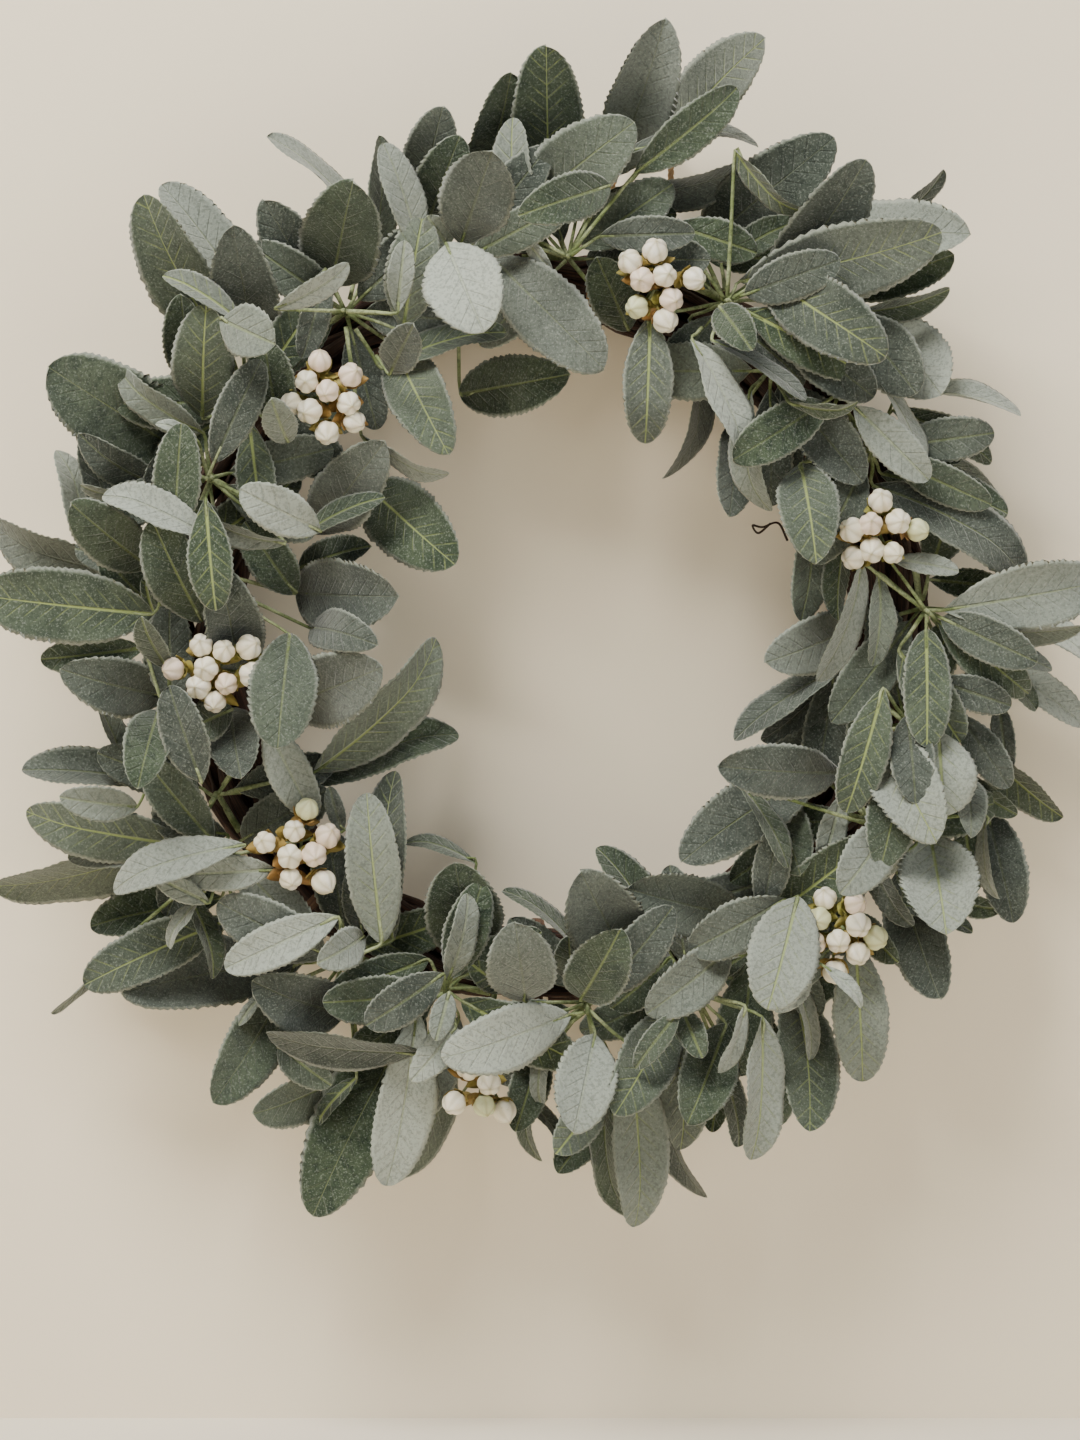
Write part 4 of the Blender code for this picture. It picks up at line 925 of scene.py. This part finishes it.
def bindings(split_vine):
    """Split-vine strips: a loop round the bundle, flat where it rests on the door, with rounded edges."""
    steps = 72
    outer = BACK - RING[1]
    middle_radius = outer - BINDING_THICKNESS / 2
    for index, degrees in enumerate(BINDING_ANGLES, 1):
        angle = math.radians(degrees)
        outward = np.array([math.sin(angle), 0, math.cos(angle)])
        tangent = np.array([math.cos(angle), 0, -math.sin(angle)])
        turn = np.linspace(0, 2 * math.pi, steps, endpoint=False)
        radial = outward * np.sin(turn)[:, None] + BACKWARD * np.cos(turn)[:, None]
        behind = np.cos(turn) > 0.3
        resting = np.abs(np.sin(turn)) * middle_radius < BINDING_FLAT / 2
        most = 1 / math.cos(math.asin(BINDING_FLAT / 2 / outer))
        stretch = np.where(behind & resting, np.minimum(1 / np.maximum(np.cos(turn), 0.3), most), 1.0)
        centre = RING + outward * RING_RADIUS + radial * (middle_radius * stretch)[:, None]
        around = np.linspace(0, 2 * math.pi, 12, endpoint=False)
        width = np.sign(np.cos(around)) * np.abs(np.cos(around)) ** 0.5 * BINDING_WIDTH / 2
        depth = np.sign(np.sin(around)) * np.abs(np.sin(around)) ** 0.5 * BINDING_THICKNESS / 2
        sway = 1.2 * MM * np.sin(turn * 2 + index)[:, None, None] * tangent
        section = centre[:, None] + tangent * width[None, :, None] + sway
        section = section + radial[:, None] * depth[None, :, None]
        build = Build()
        build.add(ring_loft(section), bark=bark_values(centre, 12))
        piece = build.piece(f"binding_{index}_strip", split_vine)
        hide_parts(f"vine_binding_{index}")


# ---------------------------------------------------------------- twine loop

LOOP_ANGLE = math.radians(12)
LOOP_HEIGHT = 66 * MM
LOOP_FOOT = 15.3 * MM             # from the loop's middle to each wrap
TWINE_RADIUS = 1.5 * MM
TWINE_GAP = 0.8 * MM


def twine_places():
    """The loop's own line, the wrap round the bundle, and the frame they are laid in."""
    outward = np.array([math.sin(LOOP_ANGLE), 0, math.cos(LOOP_ANGLE)])
    tangent = np.array([math.cos(LOOP_ANGLE), 0, -math.sin(LOOP_ANGLE)])
    centre = RING + outward * RING_RADIUS
    wrap = BUNDLE_RADIUS + TWINE_GAP + TWINE_RADIUS
    foot = wrap * 0.85
    turn = np.linspace(0, math.pi, 17)
    rise = foot + (BUNDLE_RADIUS + LOOP_HEIGHT - foot) * np.sin(turn) ** 0.6
    back = wrap * 0.55 + 3 * MM * np.sin(turn)
    slide = -LOOP_FOOT * np.cos(turn)
    loop = centre + outward * rise[:, None] + BACKWARD * back[:, None] + tangent * slide[:, None]
    around = np.linspace(0, 2 * math.pi, 80, endpoint=False)
    circle = (outward * np.cos(around)[:, None] + BACKWARD * np.sin(around)[:, None]) * wrap
    sway = 0.8 * MM * np.sin(2 * around)
    rings = [centre + circle + tangent * (slip * LOOP_FOOT + sway)[:, None] for slip in (-1, 1)]
    knot_centre = centre + outward * (foot + 2.4 * MM) + BACKWARD * (wrap * 0.55 + 1.7 * MM)
    return smooth_path(loop, 240), rings, knot_centre, outward, tangent


def twisted_plies(path, closed=False):
    """Three round plies laid together: the outer edge of three circles, turning along the path."""
    _, side, up = carried_frames(path)
    length = np.concatenate([[0], np.cumsum(np.linalg.norm(np.diff(path, axis=0), axis=1))])
    if closed:
        tangents = unit(np.roll(path, -1, axis=0) - np.roll(path, 1, axis=0))
        side = unit(np.cross(tangents, unit(path - path.mean(axis=0))))
        up = np.cross(tangents, side)
        whole = length[-1] + np.linalg.norm(path[0] - path[-1])
        turns = round(whole / PLY_PITCH) * 2 * math.pi * length / whole
    else:
        turns = 2 * math.pi * length / PLY_PITCH
    angle = np.linspace(0, 2 * math.pi, 18, endpoint=False)
    nearest = (angle + math.pi / 3) % (2 * math.pi / 3) - math.pi / 3
    outline = PLY_OFFSET * np.cos(nearest) + np.sqrt(PLY_RADIUS ** 2 - (PLY_OFFSET * np.sin(nearest)) ** 2)
    spin = angle[None] + turns[:, None]
    sections = path[:, None] + outline[None, :, None] * (
        side[:, None] * np.cos(spin)[..., None] + up[:, None] * np.sin(spin)[..., None])
    values = np.empty((len(path), 18, 4))
    values[..., 0] = length[:, None]
    values[..., 1], values[..., 2], values[..., 3] = np.cos(angle) * 0.02, np.sin(angle) * 0.02, 1
    return (ring_loft(sections) if closed else loft(sections)), values.reshape(-1, 4)


PLY_PITCH = 9 * MM
PLY_OFFSET = 0.74 * MM
PLY_RADIUS = 0.94 * MM


def twine(jute):
    """The loop as a twisted cord; its two wraps round the bundle with a knot on each; and loose fibres."""
    path, rings, knot_centre, outward, tangent = twine_places()
    loop, wraps, fuzz = Build(), Build(), Build()
    shape, values = twisted_plies(path)
    loop.add(shape, bark=values)
    for ring in rings:
        shape, values = twisted_plies(ring, closed=True)
        wraps.add(shape, bark=values)
    for slip in (-1, 1):
        foot = knot_centre + tangent * slip * LOOP_FOOT
        t = np.linspace(0, 2 * math.pi * 1.6, 60)
        round_foot = tangent * (np.cos(t) * 2.4 * MM)[:, None] + BACKWARD * (np.sin(t) * 1.8 * MM)[:, None]
        knot = foot + round_foot + outward * ((t / t[-1] - 0.5) * 4 * MM)[:, None]
        shape, values = twisted_plies(knot)
        wraps.add(shape, bark=values)
    random = np.random.default_rng(3)
    _, side, up = carried_frames(path)
    for _ in range(70):
        i = random.integers(5, len(path) - 5)
        t = np.linspace(0, 1, 6)[:, None]
        lean = unit(side[i] * random.normal() + up[i] * random.normal())
        reach = random.uniform(1, 3.5) * MM
        hair = path[i] + (path[i + 1] - path[i]) * t * 3 + lean * (1.2 * MM + t * reach)
        fuzz.add(loft(tube(hair, 0.09 * MM, 3)), bark=bark_values(hair, 3))
    piece = loop.piece("jute_loop", jute, "hanging_loop")
    wrap_piece = wraps.piece("jute_wraps", jute, "hanging_loop")
    fuzz_piece = fuzz.piece("jute_fuzz", jute, "hanging_loop")
    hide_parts("hanging_loop")


# ---------------------------------------------------------------- stage

def plain_material(name, colour, one_sided):
    """A plain backdrop finish, see-through from behind when one_sided."""
    material, n, shader = new_material(name, 0.9)
    where = n.object_place()
    n.put(shader.inputs["Base Color"], n.mix(n.times(n.noise(where, 3.0), 0.12), colour, (1, 1, 1, 1)))
    if one_sided:
        mix = n.add("ShaderNodeMixShader")
        n.put(mix.inputs[0], n.add("ShaderNodeNewGeometry").outputs["Backfacing"])
        n.put(mix.inputs[1], shader.outputs[0])
        n.put(mix.inputs[2], n.add("ShaderNodeBsdfTransparent").outputs[0])
        n.put(n.tree.nodes["Material Output"].inputs[0], mix.outputs[0])
    return material


def plane(name, corners, material):
    mesh = bpy.data.meshes.new(name)
    mesh.from_pydata([tuple(c) for c in corners], [], [tuple(range(len(corners)))])
    mesh.materials.append(material)
    obj = bpy.data.objects.new(name, mesh)
    bpy.context.scene.collection.objects.link(obj)


def stage():
    """A cream wall where the door would be and a pale floor well below."""
    wall, floor, top = BACK + 1.5 * MM, CAD_BOX[0][2] - 0.12, 2.5
    plane("wall", [(-3, wall, floor), (3, wall, floor), (3, wall, top), (-3, wall, top)],
          plain_material("wall_paint", (0.95, 0.84, 0.65, 1), True))
    plane("floor", [(-3, -4, floor), (3, -4, floor), (3, wall, floor), (-3, wall, floor)],
          plain_material("floor_paint", (0.86, 0.79, 0.67, 1), True))


def area_light(name, place, aim, size, power, colour):
    data = bpy.data.lights.new(name, "AREA")
    data.shape = "RECTANGLE"
    data.size, data.size_y = size
    data.energy = power
    data.color = colour
    light = bpy.data.objects.new(name, data)
    light.location = place
    light.rotation_euler = (Vector(aim) - Vector(place)).to_track_quat("-Z", "Y").to_euler()
    bpy.context.scene.collection.objects.link(light)


def lights():
    """Open daylight: a broad soft source high in front, a weaker one on the right, and a low sky fill."""
    aim = (0, 0, float(RING[2]))
    area_light("key", (-0.7, -1.3, 1.7), aim, (1.3, 1.0), 92, (1.0, 0.97, 0.90))
    area_light("fill", (1.7, -1.4, 0.2), aim, (1.6, 1.6), 11, (0.92, 0.96, 1.0))
    area_light("behind", (-0.6, 1.8, 0.9), aim, (1.4, 1.4), 14, (1.0, 0.98, 0.95))
    world = bpy.data.worlds.new("sky")
    world.use_nodes = True
    world.node_tree.nodes["Background"].inputs["Color"].default_value = (0.86, 0.90, 0.95, 1)
    world.node_tree.nodes["Background"].inputs["Strength"].default_value = 0.22
    bpy.context.scene.world = world


make_camera()
twine(jute_material())
FELT, VEINS = felt_group(), vein_group()
STEM_FUZZ = stem_material(FELT)
BARK = bark_material("grapevine_bark", BARK_DARK, BARK_LIGHT)
leaf_sprays(leaf_material(FELT, VEINS), STEM_FUZZ)
berry_picks(berry_material(), sepal_material(), STEM_FUZZ)
vines(BARK)
tendrils(BARK)
bindings(bark_material("split_vine_bark", SPLIT_DARK, SPLIT_LIGHT))
stage()
lights()
